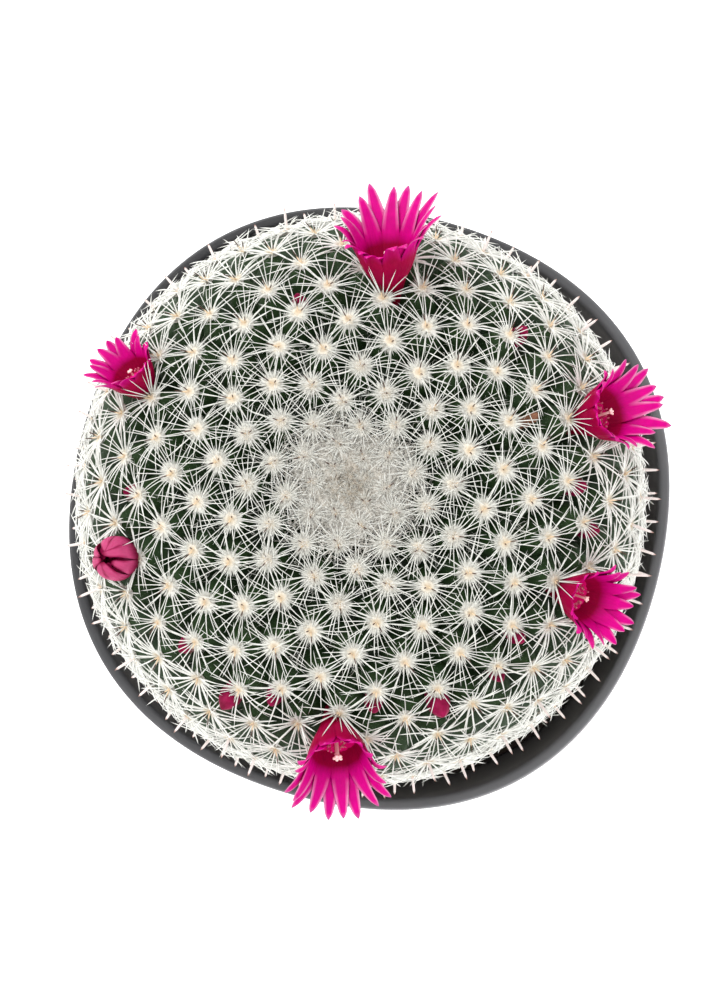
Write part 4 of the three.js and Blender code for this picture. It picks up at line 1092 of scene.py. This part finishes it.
def makePot(material):
    # Profile carried once round the axis, from under the floor, out, up, over the lip and down.
    # Its length past the lip's top says where the painted light inside and the dark wall begin.
    look = potLook
    rim, height, wall = look["rimRadius"], look["height"], look["wall"]
    corners = [(0.02, look["footHeight"]), (look["footInnerRadius"] - 1, look["footHeight"]),
               (look["footInnerRadius"], 0), (look["footRadius"] - 0.3, 0), (outerRadius(20), 20),
               (outerRadius(45), 45), (outerRadius(collarLevel), collarLevel),
               (collarRadius, collarLevel + 0.6), (rim - 0.25, height - 1.4), (rim - 0.5, height),
               (rim - look["lipWidth"], height - look["lipSlope"]), (collarRadius - wall - 0.1, height - 4.2),
               (wallTop - wall, collarLevel), (outerRadius(40) - wall, 40),
               (outerRadius(floorTop) - wall, floorTop), (0.02, floorTop)]
    rounds = [0, 0.4, 0.4, 0.8, 2, 2, 0.35, 0.5, 0.5, 0.45, 0.7, 0.8, 1.5, 2, 2.5, 0]
    profile = roundedProfile(corners, rounds)
    grid = squareOff(turned(profile[:, 0], profile[:, 1], look["sides"]))
    run = np.concatenate([[0], np.cumsum(np.linalg.norm(np.diff(profile, axis=0), axis=1))])
    past = run - run[np.argmax(profile[:, 1])]
    # painted highlight on the lip: strongest on the side at the lip light angle, fading round the rim
    paintedLipLight = (0.5 + 0.5 * np.cos(around(look["sides"]) - math.radians(look["lipLightAngle"]))) ** 2.5
    values = {"inside": onSleeves(smooth(1.4, 3.4, past), 1, look["sides"], 1.0),
              "wall": onSleeves(smooth(-1.5, -5.0, past), 1, look["sides"], 0.0),
              "paintedLipLight": withTips(np.tile(paintedLipLight, len(past))[None], 0.0)}
    return addPiece("potShell", sweep(grid[None], floorTop * upAxis[None]), "pot", material, values)


def drill(piece):
    # round drainage holes through the floor, joined into one cutter and cut once
    circle, radius, cutters = potLook["holeCircle"], potLook["holeRadius"], []
    for i in range(potLook["holes"]):
        angle = math.radians(potLook["cornerAngle"] + i * 360 / potLook["holes"])
        place = (circle * math.cos(angle) * mm, circle * math.sin(angle) * mm, 0.002)
        bpy.ops.mesh.primitive_cylinder_add(radius=radius * mm, depth=0.02, vertices=48, location=place)
        cutters.append(bpy.context.object)
    bpy.ops.object.select_all(action="DESELECT")
    for cutter in cutters:
        cutter.select_set(True)
    bpy.context.view_layer.objects.active = cutters[0]
    bpy.ops.object.join()
    cutter = bpy.context.object
    modifier = piece.modifiers.new("holes", "BOOLEAN")
    modifier.object = cutter
    modifier.operation = "DIFFERENCE"
    modifier.solver = "EXACT"
    bpy.context.view_layer.objects.active = piece
    bpy.ops.object.modifier_apply(modifier="holes")
    bpy.data.objects.remove(cutter)


drill(makePot(potMaterial()))


soilLook = {"level": 72, "sides": 160, "clearance": 0.45, "wallRings": 12, "topRings": 46, "holeRadius": 14.3,
            "hole": [(14.2, 70), (13.0, 66), (11.6, 62.4), (11.3, 61.7), (0.02, 61.7)],
            "crumbs": 900, "crumbsFrom": 18.0}

# the twelve corners of an icosahedron, and its twenty sides
golden = (1 + 5 ** 0.5) / 2
crumbCorners = np.array([
    (-1, golden, 0), (1, golden, 0), (-1, -golden, 0), (1, -golden, 0), (0, -1, golden), (0, 1, golden),
    (0, -1, -golden), (0, 1, -golden), (golden, 0, -1), (golden, 0, 1), (-golden, 0, -1), (-golden, 0, 1),
]) / math.hypot(1, golden)
crumbSides = np.array([
    (0, 11, 5), (0, 5, 1), (0, 1, 7), (0, 7, 10), (0, 10, 11), (1, 5, 9), (5, 11, 4), (11, 10, 2), (10, 7, 6),
    (7, 1, 8), (3, 9, 4), (3, 4, 2), (3, 2, 6), (3, 6, 8), (3, 8, 9), (4, 9, 5), (2, 4, 11), (6, 2, 10),
    (8, 6, 7), (9, 8, 1)])


def soilInside(level):
    return outerRadius(level) - potLook["wall"] - soilLook["clearance"]


def makeSoilBed(material):
    # closed bed of potting mix: the outside follows the pot, the top is lumpy and sinks to the
    # hole that the root collar fills
    top, bottom = soilInside(soilLook["level"]), floorTop + 0.3
    wallLevel = np.linspace(bottom + 3.2, soilLook["level"] - 1, soilLook["wallRings"])
    topRadius = mix(soilLook["holeRadius"], top, np.linspace(1, 0, soilLook["topRings"]))
    topLevel = soilLook["level"] + 0.4 * smooth(14.4, 17, topRadius) - 1.2 * smooth(17, 14.3, topRadius)
    holeRadius, holeLevel = np.transpose(soilLook["hole"])
    radius = np.concatenate([[0.02, soilInside(bottom) - 2.2], soilInside(wallLevel), topRadius, holeRadius])
    level = np.concatenate([[bottom, bottom], wallLevel, topLevel, holeLevel])
    grid = turned(radius, level, soilLook["sides"])
    lump = 0.55 * lumps(grid, 9, 31) + 0.3 * lumps(grid, 2.6, 32)
    isTop = ((level > 71.2) & (radius > 16) & (radius < top - 0.4))[:, None]
    grid[..., 2] += np.where(isTop, lump, 0)
    addPiece("soilBed", sweep(squareOff(grid)[None], holeLevel[-1] * upAxis[None]), "soil", material)


def makeSoilCrumbs(material):
    # crumbs of bark and peat: lumpy, stretched little balls, turned and scattered on the bed
    wild = np.random.default_rng(41)
    count = soilLook["crumbs"]
    outer = soilInside(soilLook["level"]) - 1.6
    r = np.sqrt(wild.uniform(soilLook["crumbsFrom"] ** 2, outer ** 2, count))
    a = wild.uniform(0, 2 * np.pi, count)
    centre = squareOff(np.stack([r * np.cos(a), r * np.sin(a), np.full(count, soilLook["level"] + 0.5)], -1))
    stretch = wild.uniform(0.35, 1.0, (count, 1, 3)) * wild.uniform(0.4, 1.3, (count, 1, 1))
    ball = crumbCorners * (1 + wild.normal(0, 0.16, (count, len(crumbCorners), 1))) * stretch
    turn = wild.uniform(0, 2 * np.pi, (count, 1))
    x = ball[..., 0] * np.cos(turn) - ball[..., 1] * np.sin(turn)
    y = ball[..., 0] * np.sin(turn) + ball[..., 1] * np.cos(turn)
    points = (centre[:, None] + np.stack([x, y, ball[..., 2]], -1)).reshape(-1, 3)
    faces = [(crumbSides + (np.arange(count) * len(crumbCorners))[:, None, None]).reshape(-1, 3)]
    addPiece("soilCrumbs", (points, faces), "soil", material, flatShaded=True)


makeSoilBed(plainMaterial("soilPeat", (0.012, 0.008, 0.006), (0.04, 0.026, 0.018), 1.8, 1.0, 0.4))
makeSoilCrumbs(plainMaterial("soilCrumb", (0.03, 0.018, 0.012), (0.12, 0.075, 0.045), 2.2, 0.95, 0.2))
print("pot and soil made")
